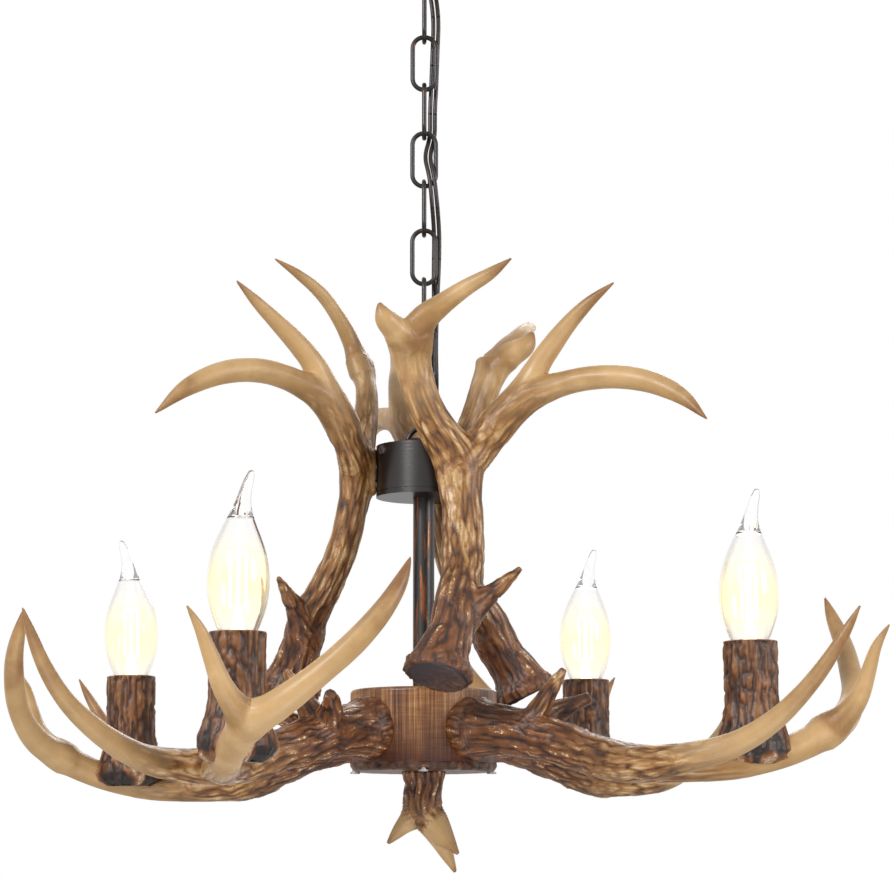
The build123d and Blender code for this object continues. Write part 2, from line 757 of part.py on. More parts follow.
with BuildPart() as sleeve_shape:
    with BuildSketch(Plane.XZ):
        with BuildLine():
            Polyline((0, -2), (17.5, -2))
            Spline((17.5, -2), (boot_radius - 1, boot_low), (boot_radius - 1.5, 11), (18.6, 22),
                   (sleeve_radius, boot_height))
            Polyline((sleeve_radius, boot_height), (sleeve_radius, sleeve_top), (0, sleeve_top), (0, -2))
        make_face()
    revolve(axis=Axis.Z)
    with Locations((0, 0, sleeve_top)):
        Cylinder(sleeve_radius - sleeve_wall, sleeve_depth, align=hanging,
                 mode=Mode.SUBTRACT)
    Cylinder(wire_hole_radius, 90, align=standing, mode=Mode.SUBTRACT)
    Cylinder(wire_entry_radius, 14, align=standing, mode=Mode.SUBTRACT)
with BuildPart() as sleeve_cupped:
    add(sleeve_shape.part.moved(Pos(lamp_out, lamp_side, 0)))
    tine(arm_crown_tine, grow=2 * seat_gap, mode=Mode.SUBTRACT)

holder_low = sleeve_top - sleeve_depth
holder_top = sleeve_top - holder_drop
with BuildPart() as holder_shape:
    with Locations((0, 0, holder_low)):
        Cylinder(holder_radius, holder_top - holder_low, align=standing)
        Cylinder(wire_hole_radius, 40, align=(Align.CENTER, Align.CENTER, Align.CENTER), mode=Mode.SUBTRACT)
    with Locations((0, 0, holder_low)):
        Cylinder(holder_radius - 2, 9, align=standing, mode=Mode.SUBTRACT)
    with Locations((0, 0, holder_top)):
        Cylinder(cap_radius + clear, socket_depth, align=hanging, mode=Mode.SUBTRACT)

with BuildPart() as cap_shape:
    with Locations((0, 0, holder_top + 0.6)):
        Cylinder(cap_radius + 1.4, 0.5, align=hanging)
        Cylinder(cap_radius, cap_length - 1.6, align=hanging)
    with Locations((0, 0, holder_top + 0.6 - cap_length)):
        Cone(2.6, cap_radius - 0.8, 1.6, align=standing)


def bulb_sections(rings, thinner):
    """The circles of a bulb's skin, leaning along +X towards the tip."""
    sections = []
    for height, radius, lean in rings:
        with BuildSketch(Plane.XY.offset(holder_top + height)) as ring:
            with Locations((lean, 0)):
                Circle(radius - thinner)
        sections.append(ring.sketch)
    return sections


with BuildPart() as glass_shape:
    loft(bulb_sections(bulb_rings, 0))
    loft(bulb_sections(bulb_rings[:bulb_inner_rings], glass_wall), mode=Mode.SUBTRACT)

with BuildPart() as filament_shape:
    with Locations((0, 0, holder_top + 0.6)):
        Cone(4.6, 2.0, 17.4, align=standing)
    with Locations((0, 0, holder_top + 17)):
        Cylinder(0.6, 31, align=standing)
        Cylinder(5.2, 0.6, align=standing)
    with Locations((0, 0, holder_top + 47.4)):
        Cylinder(5.2, 0.6, align=standing)
    with PolarLocations(4.4, 4):
        with Locations((0, 0, holder_top + 17)):
            Cylinder(filament_radius, 31, align=standing)

for name, turn in arm_turn.items():
    seat = arm_seat(name)
    with BuildPart() as arm_antler:
        add(arm_shape.part.moved(seat))
        with Locations((0, 0, hub_bottom - cutter_reach)):
            Cylinder(hub_radius + seat_gap, hub_height + 2 * cutter_reach, align=standing, mode=Mode.SUBTRACT)
    keep(arm_antler, f"arm_antler_{name}")
    with BuildPart() as candle_sleeve:
        add(sleeve_cupped.part.moved(seat))
    keep(candle_sleeve, f"candle_sleeve_{name}")
    lamp_seat = seat * Pos(lamp_out, lamp_side, 0)
    with BuildPart() as lamp_holder:
        add(holder_shape.part.moved(lamp_seat))
    keep(lamp_holder, f"lamp_holder_{name}")
    bulb_seat = lamp_seat * Rot(0, 0, bulb_lean_turn[name] - turn)
    with BuildPart() as bulb_cap:
        add(cap_shape.part.moved(bulb_seat))
    keep(bulb_cap, f"bulb_cap_{name}")
    with BuildPart() as bulb_glass:
        add(glass_shape.part.moved(bulb_seat))
    keep(bulb_glass, f"bulb_glass_{name}")
    with BuildPart() as bulb_filament:
        add(filament_shape.part.moved(bulb_seat))
    keep(bulb_filament, f"bulb_filament_{name}")

bolt_head_face = hub_radius - hub_wall - arm_bolt_head_gap
with BuildPart() as arm_bolts:
    for name in arm_turn:
        with Locations(arm_seat(name) * Pos(bolt_head_face, arm_bolt_side, arm_axis_height) * Rot(0, 90, 0)):
            Cylinder(arm_bolt_head_radius, arm_bolt_head, align=hanging)
            Cylinder(arm_bolt_radius, hub_radius + arm_bolt_in_antler - bolt_head_face,
                     align=standing)
keep(arm_bolts, "arm_bolts")

with BuildPart() as lamp_wire_shape:
    lead(lamp_wire_route, lamp_wire_radius)
with BuildPart() as lamp_wires:
    for name in arm_turn:
        add(lamp_wire_shape.part.moved(arm_seat(name)))
keep(lamp_wires, "lamp_wires")

# ------------------------------------------------------------- upper antlers
crowns = {
    "front": [upper_crown_front, upper_stub],
    "left": [upper_crown_left, upper_stub],
    "back": [upper_crown_back, upper_stub],
}
for name, turn in upper_turn.items():
    with BuildPart() as upper_antler:
        tine(upper_main_tine)
        for branch in crowns[name]:
            tine(branch)
        tine(upper_outer_tine)
        tine(upper_long_tine)
        tine(upper_brow_tine)
        burr(upper_main_tine, upper_burr_radius, upper_burr_depth)
        with Locations(Pos(0, 0, -collar_height / 2) * Rot(0, 0, lug_turn) * Pos(collar_radius - 4, 0, 0)):
            Box(16, lug_width, lug_height, align=(Align.MIN, Align.CENTER, Align.CENTER))
        with Locations((0, 0, -100)):
            Cylinder(collar_radius + seat_gap, 200, align=standing, mode=Mode.SUBTRACT)
        for height in lug_screw_heights:
            with Locations(Pos(0, 0, height) * Rot(0, 0, lug_turn) * Rot(0, 90, 0)):
                Cylinder(lug_screw_radius + clear, collar_radius + lug_screw_grip + 1,
                         align=standing, mode=Mode.SUBTRACT)
    upper_antler.part.locate(Pos(0, 0, collar_top) * Rot(0, 0, turn))
    keep(upper_antler, f"upper_antler_{name}")

lug_head_face = collar_radius - collar_wall - 0.6
with BuildPart() as upper_antler_screws:
    for turn in upper_turn.values():
        for height in lug_screw_heights:
            with Locations(Pos(0, 0, collar_top + height) * Rot(0, 0, turn + lug_turn) * Rot(0, 90, 0)
                           * Pos(0, 0, lug_head_face)):
                Cylinder(lug_screw_head_radius, lug_screw_head, align=hanging)
                Cylinder(lug_screw_radius, collar_radius + lug_screw_grip - lug_head_face,
                         align=standing)
keep(upper_antler_screws, "upper_antler_screws")

# -------------------------------------------------------------- supply leads
with BuildPart() as supply_leads:
    lead(outer_lead_route, lead_radius)
    lead(inner_lead_route, lead_radius)
print("bend radii of the outer lead", [round(radius) for radius in lead_radii(outer_lead_route)])
print("bend radii of the inner lead", [round(radius) for radius in lead_radii(inner_lead_route)])
print("bend radii of a lamp wire", [round(radius) for radius in lead_radii(lamp_wire_route)])
keep(supply_leads, "supply_leads")
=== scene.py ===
import json
from math import cos, pi, radians, sin

import bpy
import numpy as np
from mathutils import Matrix, Vector


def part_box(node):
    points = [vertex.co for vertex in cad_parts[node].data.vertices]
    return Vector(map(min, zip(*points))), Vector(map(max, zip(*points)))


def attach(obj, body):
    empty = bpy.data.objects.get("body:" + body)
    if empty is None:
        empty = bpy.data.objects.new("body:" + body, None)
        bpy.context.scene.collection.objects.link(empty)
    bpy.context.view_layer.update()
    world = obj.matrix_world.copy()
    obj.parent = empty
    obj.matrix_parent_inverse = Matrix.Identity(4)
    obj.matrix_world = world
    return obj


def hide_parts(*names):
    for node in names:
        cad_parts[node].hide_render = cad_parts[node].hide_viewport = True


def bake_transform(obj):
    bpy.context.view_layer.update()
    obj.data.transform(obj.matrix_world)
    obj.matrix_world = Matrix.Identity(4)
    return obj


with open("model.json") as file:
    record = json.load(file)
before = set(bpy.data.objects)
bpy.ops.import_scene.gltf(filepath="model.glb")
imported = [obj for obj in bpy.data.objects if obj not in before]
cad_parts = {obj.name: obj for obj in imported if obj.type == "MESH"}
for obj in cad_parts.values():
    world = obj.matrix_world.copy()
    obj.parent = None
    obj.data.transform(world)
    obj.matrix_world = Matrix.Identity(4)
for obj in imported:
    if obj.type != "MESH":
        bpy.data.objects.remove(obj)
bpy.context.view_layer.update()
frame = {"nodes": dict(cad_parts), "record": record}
mm = 0.001

# Heights that everything else is placed by, in mm, read from the frame.
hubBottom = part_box("hub_plate")[0].z / mm
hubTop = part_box("hub_shell")[1].z / mm
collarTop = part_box("collar_lid")[1].z / mm
armTurn = {"front_left": -133.6, "front_right": -45.2, "back_right": 43.7, "back_left": 135.2}
armRise = {"front_left": 0.0, "front_right": 0.75, "back_right": 0.13, "back_left": -1.17}
upperTurn = {"front": -81.0, "left": 159.0, "back": 49.0}


# ---- colour and nodes

# An sRGB hex value as linear red, green, blue and alpha.
def linear(hexColour):
    channels = [int(hexColour[at:at + 2], 16) / 255 for at in (1, 3, 5)]
    return [c / 12.92 if c <= 0.04045 else ((c + 0.055) / 1.055) ** 2.4 for c in channels] + [1.0]


# Adds a node, sets its properties, and fills or links its inputs by name or number.
def addNode(tree, kind, inputs=None, **settings):
    made = tree.nodes.new(kind)
    for name, value in settings.items():
        setattr(made, name, value)
    for name, value in (inputs or {}).items():
        if isinstance(value, bpy.types.NodeSocket):
            tree.links.new(value, made.inputs[name])
        else:
            made.inputs[name].default_value = value
    return made


# A colour ramp through (place, hex) stops.
def colourRamp(tree, factor, stops):
    made = addNode(tree, "ShaderNodeValToRGB", {"Fac": factor})
    band = made.color_ramp
    while len(band.elements) < len(stops):
        band.elements.new(0.5)
    for element, (place, colour) in zip(band.elements, stops):
        element.position = place
        element.color = linear(colour)
    return made.outputs["Color"]


# Noise on the given coordinates, stretched by three counts per metre.
def noiseOn(tree, coordinates, counts, detail=3.0, roughness=0.55, distortion=0.0):
    mapped = addNode(tree, "ShaderNodeMapping", {"Vector": coordinates, "Scale": counts})
    made = addNode(tree, "ShaderNodeTexNoise", {"Vector": mapped.outputs[0], "Scale": 1.0, "Detail": detail,
                                                "Roughness": roughness, "Distortion": distortion})
    return made.outputs["Fac"]


# a blended with b by a factor, as a number or a colour.
def mixed(tree, kind, factor, a, b, blend="MIX"):
    places = {"FLOAT": (2, 3, 0), "RGBA": (6, 7, 2)}[kind]
    made = addNode(tree, "ShaderNodeMix", {0: factor, places[0]: a, places[1]: b}, data_type=kind, blend_type=blend)
    return made.outputs[places[2]]


def newMaterial(name):
    made = bpy.data.materials.new(name)
    made.use_nodes = True
    tree = made.node_tree
    return made, tree, tree.nodes["Principled BSDF"], addNode(tree, "ShaderNodeTexCoord").outputs["Object"]


def attributeOf(tree, name):
    return addNode(tree, "ShaderNodeAttribute", attribute_name=name).outputs["Fac"]


def bumpOn(tree, shader, height, depth, strength=1.0):
    made = addNode(tree, "ShaderNodeBump", {"Height": height, "Distance": depth * mm, "Strength": strength})
    tree.links.new(made.outputs[0], shader.inputs["Normal"])


# ---- materials

antlerLook = {"poreWidth": 0.5, "bumpDepth": 0.35}


# Cast resin, brown on the bark and cream on the tines. Over the bark's brown its valleys are darkened, a painted
# shade, and its crests and flecks are made pale, a painted highlight.
def castAntlerResin():
    made, tree, shader, place = newMaterial("cast antler resin")
    relief = attributeOf(tree, "relief")
    bark = attributeOf(tree, "bark")
    toTip = attributeOf(tree, "toTip")
    cut = attributeOf(tree, "cut")
    cloudy = noiseOn(tree, place, (45, 45, 45), 4)
    fine = noiseOn(tree, place, [1 / (antlerLook["poreWidth"] * mm)] * 3, 3)
    # Colour by relief: darker in the bark's valleys as painted shade, paler on its crests as painted highlight.
    valleyToCrest = mixed(tree, "FLOAT", 0.2, relief, fine)
    barkColour = colourRamp(tree, valleyToCrest, [(0.14, "#190c07"), (0.38, "#42230f"), (0.62, "#6b3d1d"), (0.84, "#87562e"),
                                          (0.94, "#b58a5c")])
    # Pale flecks on the highest crests: a painted highlight.
    highlightFlecks = addNode(tree, "ShaderNodeMath", {0: noiseOn(tree, place, (520, 520, 520), 2), 1: relief},
                     operation="MULTIPLY").outputs[0]
    pale = addNode(tree, "ShaderNodeMapRange", {"Value": highlightFlecks, "From Min": 0.55, "From Max": 0.61})
    barkColour = mixed(tree, "RGBA", pale.outputs[0], barkColour, linear("#e6d5b8"))
    # Golden bark, also darker in its valleys and paler on its crests: painted shade and painted highlight.
    goldColour = colourRamp(tree, valleyToCrest, [(0.15, "#35200f"), (0.42, "#73491f"), (0.66, "#9c6f3f"), (0.86, "#c39d6a"),
                                          (0.95, "#e9d8b8")])
    tineShade = mixed(tree, "FLOAT", 0.4, toTip, cloudy)
    tineColour = colourRamp(tree, tineShade, [(0.15, "#7d5130"), (0.33, "#a27a48"), (0.52, "#cda774"),
                                              (0.68, "#ba9462"), (0.82, "#8d6239"), (0.96, "#4a2d17")])
    golden = addNode(tree, "ShaderNodeMapRange", {"Value": bark, "From Min": 0.07, "From Max": 0.34})
    chestnut = addNode(tree, "ShaderNodeMapRange", {"Value": bark, "From Min": 0.5, "From Max": 0.92})
    skin = mixed(tree, "RGBA", golden.outputs[0], tineColour, goldColour)
    skin = mixed(tree, "RGBA", chestnut.outputs[0], skin, barkColour)
    sawn = mixed(tree, "RGBA", cut, skin, linear("#2c2023"))
    tree.links.new(sawn, shader.inputs["Base Color"])
    rough = addNode(tree, "ShaderNodeMapRange", {"Value": relief, "To Min": 0.5, "To Max": 0.3})
    tree.links.new(rough.outputs[0], shader.inputs["Roughness"])
    shader.inputs["Specular IOR Level"].default_value = 0.5
    bumpOn(tree, shader, fine, antlerLook["bumpDepth"], 0.35)
    return made


# Cast resin with a bark surface, dark brown, darkened in its valleys as painted shade and made pale on its crests and
# flecks as painted highlight.
def castBarkResin():
    made, tree, shader, place = newMaterial("cast bark resin")
    relief = attributeOf(tree, "relief")
    fine = noiseOn(tree, place, (900, 900, 260), 4)
    valleyToCrest = mixed(tree, "FLOAT", 0.2, relief, fine)
    # Darker in the valleys as painted shade, pale on the crests as painted highlight.
    colour = colourRamp(tree, valleyToCrest, [(0.2, "#160a05"), (0.45, "#43230f"), (0.7, "#6f431f"), (0.88, "#93643a"),
                                      (0.96, "#e9d9bd")])
    tree.links.new(colour, shader.inputs["Base Color"])
    shader.inputs["Roughness"].default_value = 0.42
    bumpOn(tree, shader, fine, 0.5, 0.6)
    return made


hubLook = {"streakWidth": 0.9, "streakLength": 60.0, "weaveWidth": 1.6}


# Resin drum combed to look like upright wood grain, stained brown and satin lacquered, with painted shade that
# darkens it towards its bottom.
def combedWoodStain():
    made, tree, shader, place = newMaterial("combed wood stain")
    across = 1 / (hubLook["streakWidth"] * mm)
    along = 1 / (hubLook["streakLength"] * mm)
    streaks = noiseOn(tree, place, (across, across, along), 3, 0.6)
    broad = noiseOn(tree, place, (90, 90, 9), 3)
    rings = noiseOn(tree, place, (60, 60, 1 / (hubLook["weaveWidth"] * mm)), 2)
    combed = mixed(tree, "FLOAT", 0.14, mixed(tree, "FLOAT", 0.45, streaks, broad), rings)
    height = addNode(tree, "ShaderNodeSeparateXYZ", {"Vector": place}).outputs["Z"]
    # Painted shade: the drum's colour is multiplied with a red-brown more and more towards its bottom.
    low = addNode(tree, "ShaderNodeMapRange", {"Value": height, "From Min": (hubTop - 12) * mm,
                                               "From Max": (hubBottom + 4) * mm}).outputs[0]
    colour = colourRamp(tree, combed, [(0.3, "#28130b"), (0.42, "#5a331b"), (0.52, "#8d5f38"), (0.62, "#b98d5d"),
                                       (0.74, "#dcc19a")])
    colour = mixed(tree, "RGBA", low, colour, mixed(tree, "RGBA", 1.0, colour, linear("#8a5a44"), "MULTIPLY"))
    tree.links.new(colour, shader.inputs["Base Color"])
    shader.inputs["Roughness"].default_value = 0.36
    bumpOn(tree, shader, combed, 0.8, 0.6)
    return made


# Steel painted black-brown and rubbed with copper, which shows as short warm streaks along the piece.
def copperRubbedSteel(name, copper, stretch):
    made, tree, shader, place = newMaterial(name)
    patches = noiseOn(tree, place, stretch, 5, 0.65, 0.4)
    share = addNode(tree, "ShaderNodeMapRange", {"Value": patches, "From Min": 0.66 - copper,
                                                 "From Max": 0.74 - copper})
    colour = mixed(tree, "RGBA", share.outputs[0], linear("#17110f"), linear("#8a5636"))
    tree.links.new(colour, shader.inputs["Base Color"])
    tree.links.new(share.outputs[0], shader.inputs["Metallic"])
    shader.inputs["Roughness"].default_value = 0.34
    bumpOn(tree, shader, patches, 0.15, 0.5)
    return made


# Zinc-plated steel, fine satin.
def zincPlatedSteel():
    made, tree, shader, place = newMaterial("zinc plated steel")
    grain = noiseOn(tree, place, (700, 700, 700), 3)
    tree.links.new(colourRamp(tree, grain, [(0.3, "#8f9093"), (0.7, "#c9cacc")]), shader.inputs["Base Color"])
    shader.inputs["Metallic"].default_value = 1.0
    shader.inputs["Roughness"].default_value = 0.32
    bumpOn(tree, shader, grain, 0.05, 0.3)
    return made


# Moulded plastic or rubber: one colour, faintly mottled between a low and a high shade.
def mouldedPlastic(name, low, high, roughness):
    made, tree, shader, place = newMaterial(name)
    mottle = noiseOn(tree, place, (300, 300, 300), 3)
    tree.links.new(colourRamp(tree, mottle, [(0.3, low), (0.7, high)]), shader.inputs["Base Color"])
    shader.inputs["Roughness"].default_value = roughness
    bumpOn(tree, shader, mottle, 0.05, 0.4)
    return made


# Blown clear soda glass. Where it is seen edge on it is greyed, a painted shade, and its middle carries a painted
# glow, warm and faintly shining, for the lamp inside.
def blownGlass():
    made, tree, shader, _ = newMaterial("blown clear glass")
    glow = attributeOf(tree, "glow")
    facing = addNode(tree, "ShaderNodeLayerWeight", {"Blend": 0.32}).outputs["Facing"]
    # Painted glow: the glass is tinted warm round the filament's height.
    warmed = mixed(tree, "RGBA", glow, linear("#ffffff"), linear("#fff6dd"))
    # Painted shade: the glass is greyed, down to near black, where it is seen edge on.
    edgeShaded = mixed(tree, "RGBA", 1.0, warmed, colourRamp(tree, facing, [(0.25, "#ffffff"), (0.7, "#c4c3c1"),
                                                                      (0.97, "#55524e")]), "MULTIPLY")
    tree.links.new(edgeShaded, shader.inputs["Base Color"])
    shader.inputs["Roughness"].default_value = 0.02
    shader.inputs["IOR"].default_value = 1.45
    shader.inputs["Transmission Weight"].default_value = 1.0
    shader.inputs["Emission Color"].default_value = linear("#fff0cf")
    # Painted glow: the glass itself emits, brightest round the filament's height.
    shine = addNode(tree, "ShaderNodeMath", {0: glow, 1: 0.1}, operation="MULTIPLY")
    tree.links.new(shine.outputs[0], shader.inputs["Emission Strength"])
    return made


# Phosphor-coated filament, lit warm white.
def litFilament():
    made, tree, shader, place = newMaterial("lit phosphor filament")
    beads = noiseOn(tree, place, (500, 500, 900), 2)
    colour = colourRamp(tree, beads, [(0.3, "#ffcf7a"), (0.7, "#fff1cd")])
    tree.links.new(colour, shader.inputs["Base Color"])
    tree.links.new(colour, shader.inputs["Emission Color"])
    shader.inputs["Emission Strength"].default_value = 3.0
    shader.inputs["Roughness"].default_value = 0.4
    return made


materials = {
    "antler_resin": castAntlerResin(),
    "bark_resin": castBarkResin(),
    "brushed_wood_finish": combedWoodStain(),
    "bronze_painted_steel": copperRubbedSteel("copper rubbed steel", 0.05, (260, 260, 40)),
    "plated_steel": zincPlatedSteel(),
    "holder_plastic": mouldedPlastic("moulded off-white plastic", "#cfc9ba", "#e6e1d4", 0.45),
    "clear_glass": blownGlass(),
    "cap_metal": zincPlatedSteel(),
    "led_filament": litFilament(),
    "black_rubber": mouldedPlastic("moulded black rubber", "#0d0d0d", "#1b1a19", 0.6),
    "lead_insulation": mouldedPlastic("extruded dark insulation", "#120c0a", "#2a1a13", 0.38),
}
collarPaint = copperRubbedSteel("brushed black paint", 0.0, (120, 120, 900))
stemPaint = copperRubbedSteel("copper streaked steel", 0.1, (330, 330, 26))
print("materials", len(materials) + 2)


def dress(obj, material):
    obj.data.materials.clear()
    obj.data.materials.append(material)


slotOf = {part["node"]: part["material_slot"] for part in frame["record"]["subparts"]}
for node, obj in frame["nodes"].items():
    dress(obj, materials[slotOf[node]])
for node in ("collar_drum", "collar_lid", "canopy_cover"):
    dress(frame["nodes"][node], collarPaint)
dress(frame["nodes"]["stem"], stemPaint)


# ---- shapes

# Lattice noise, 0 to 1: a hashed value at each whole point, blended between them by a smooth step.
def latticeNoise(points, seed=0):
    base = np.floor(points).astype(np.int64)
    part = points - base
    ease = part * part * (3 - 2 * part)
    total = np.zeros(len(points))
    for corner in np.ndindex(2, 2, 2):
        cell = base + np.array(corner)
        mixedUp = cell @ np.array([374761393, 668265263, 1442695041]) + seed * 97531 & 0xFFFFFFFF
        mixedUp = ((mixedUp ^ (mixedUp >> 13)) * 1274126177) & 0xFFFFFFFF
        value = (mixedUp ^ (mixedUp >> 16)) / 0xFFFFFFFF
        total += value * np.prod(np.where(np.array(corner), ease, 1 - ease), axis=1)
    return total


# Values between stations by cubic Hermite curves, whose slopes come from the stations on either side.
def alongStations(stations, step):
    rows = np.array(stations, float)
    run = np.r_[0, np.cumsum(np.linalg.norm(np.diff(rows[:, :3], axis=0), axis=1))]
    slopes = np.gradient(rows, run, axis=0)
    at = np.linspace(0, run[-1], int(run[-1] / step) + 2)
    low = np.clip(np.searchsorted(run, at, side="right") - 1, 0, len(run) - 2)
    gap = (run[low + 1] - run[low])[:, None]
    t = (at - run[low])[:, None] / gap
    values = ((2 * t**3 - 3 * t**2 + 1) * rows[low] + (t**3 - 2 * t**2 + t) * gap * slopes[low]
              + (3 * t**2 - 2 * t**3) * rows[low + 1] + (t**3 - t**2) * gap * slopes[low + 1])
    values[:, 3:] = np.maximum(values[:, 3:], 0.5)
    return at, values


# A tine's centreline with its cross directions carried along without twist.
def tineLine(tine, step=1.5):
    at, rows = alongStations(tine["stations"], step)
    centre = rows[:, :3]
    along = np.gradient(centre, at, axis=0)
    along /= np.linalg.norm(along, axis=1)[:, None]
    across = np.zeros_like(centre)
    side = np.array([0.0, 1.0, 0.0])
    for index, way in enumerate(along):
        side = side - way * side.dot(way)
        side /= np.linalg.norm(side)
        across[index] = side
    up = np.cross(along, across)
    bark = np.interp(at / at[-1], *zip(*tine["bark"]))
    return {"at": at, "centre": centre, "across": across, "up": up, "half": rows[:, 3:5], "bark": bark,
            "tip": tine.get("tip", 1.0)}


# A closed tube round a tine: each ring is an ellipse across the centreline, and each end is capped at a middle point.
def tineTube(line, around=28):
    turn = np.linspace(0, 2 * pi, around, endpoint=False)
    rings = (line["centre"][:, None] + line["across"][:, None] * (line["half"][:, :1] * np.cos(turn))[:, :, None]
             + line["up"][:, None] * (line["half"][:, 1:] * np.sin(turn))[:, :, None])
    points = np.vstack([rings.reshape(-1, 3), line["centre"][:1], line["centre"][-1:]])
    count = len(rings)
    ring, step = np.meshgrid(np.arange(count - 1), np.arange(around), indexing="ij")
    a = ring * around + step
    b = ring * around + (step + 1) % around
    quads = np.stack([a, b, b + around, a + around], -1).reshape(-1, 4)
    first = np.arange(around)
    after = (first + 1) % around
    last = (count - 1) * around
    ends = np.vstack([np.stack([after, first, np.full(around, count * around)], -1),
                      np.stack([last + first, last + after, np.full(around, count * around + 1)], -1)])
    return points, quads.tolist() + ends.tolist()


# One skin round overlapping closed tubes, from a voxel grid.
def oneSkin(tubes, voxel):
    points, faces = [], []
    for tubePoints, tubeFaces in tubes:
        start = sum(len(done) for done in points)
        points.append(tubePoints * mm)
        faces += [[corner + start for corner in face] for face in tubeFaces]
    mesh = bpy.data.meshes.new("tubes")
    mesh.from_pydata(np.vstack(points).tolist(), [], faces)
    rough = bpy.data.objects.new("tubes", mesh)
    bpy.context.collection.objects.link(rough)
    remesh = rough.modifiers.new("voxels", "REMESH")
    remesh.mode = "VOXEL"
    remesh.voxel_size = voxel * mm
    skin = bpy.data.meshes.new_from_object(rough.evaluated_get(bpy.context.evaluated_depsgraph_get()))
    bpy.data.objects.remove(rough)
    return skin


def verticesOf(mesh):
    points = np.empty(len(mesh.vertices) * 3, np.float32)
    mesh.vertices.foreach_get("co", points)
    return points.reshape(-1, 3).astype(float)


def normalsOf(mesh):
    normals = np.empty(len(mesh.vertices) * 3, np.float32)
    mesh.vertex_normals.foreach_get("vector", normals)
    return normals.reshape(-1, 3).astype(float)


# Each vertex moved towards the mean of its neighbours, a few times over.
def smoothed(mesh, times, share=0.5):
    points = verticesOf(mesh)
    edges = np.empty(len(mesh.edges) * 2, np.int32)
    mesh.edges.foreach_get("vertices", edges)
    a, b = edges.reshape(-1, 2).T
    count = np.bincount(np.r_[a, b], minlength=len(points))[:, None]
    for _ in range(times):
        total = np.stack([np.bincount(np.r_[a, b], np.r_[points[b, axis], points[a, axis]], len(points))
                          for axis in range(3)], -1)
        points += share * (total / count - points)
    return points


def putVertices(mesh, points):
    mesh.vertices.foreach_set("co", points.astype(np.float32).ravel())
    mesh.update()


def putAttribute(mesh, name, values):
    layer = mesh.attributes.new(name, "FLOAT", "POINT")
    layer.data.foreach_set("value", values.astype(np.float32))


barkLook = {"grooveWidth": 1.5, "grooveLength": 20.0, "grooveDepth": 1.7, "lumpSize": 9.0, "lumpDepth": 1.1,
            "burrReach": 9.0, "burrLump": 3.2, "burrDepth": 2.6, "web": 9.0, "smoothTineDepth": 0.08,
            "forkBlend": 1.6, "cutReach": 1.4, "tipFade": 6}


# Bark relief, 0 to 1.  Noise that is narrow round the tine and long down it makes the grooves: its middle value
# is a thin line, so the distance from that value is a valley with a round crest on each side.
def grooveHeight(aside, over, down, seed):
    wander = latticeNoise(np.stack([aside, over, down], -1) / barkLook["lumpSize"], seed + 7) - 0.5
    coordinates = np.stack([(aside + 2.5 * wander) / barkLook["grooveWidth"],
                            (over + 2.5 * wander) / barkLook["grooveWidth"], down / barkLook["grooveLength"]], -1)
    coarse = np.abs(2 * latticeNoise(coordinates * [0.5, 0.5, 1.0], seed) - 1)
    fine = np.abs(2 * latticeNoise(coordinates * [1.0, 1.0, 2.0], seed + 3) - 1)
    return 0.62 * np.minimum(coarse / 0.42, 1) + 0.38 * np.minimum(fine / 0.5, 1)


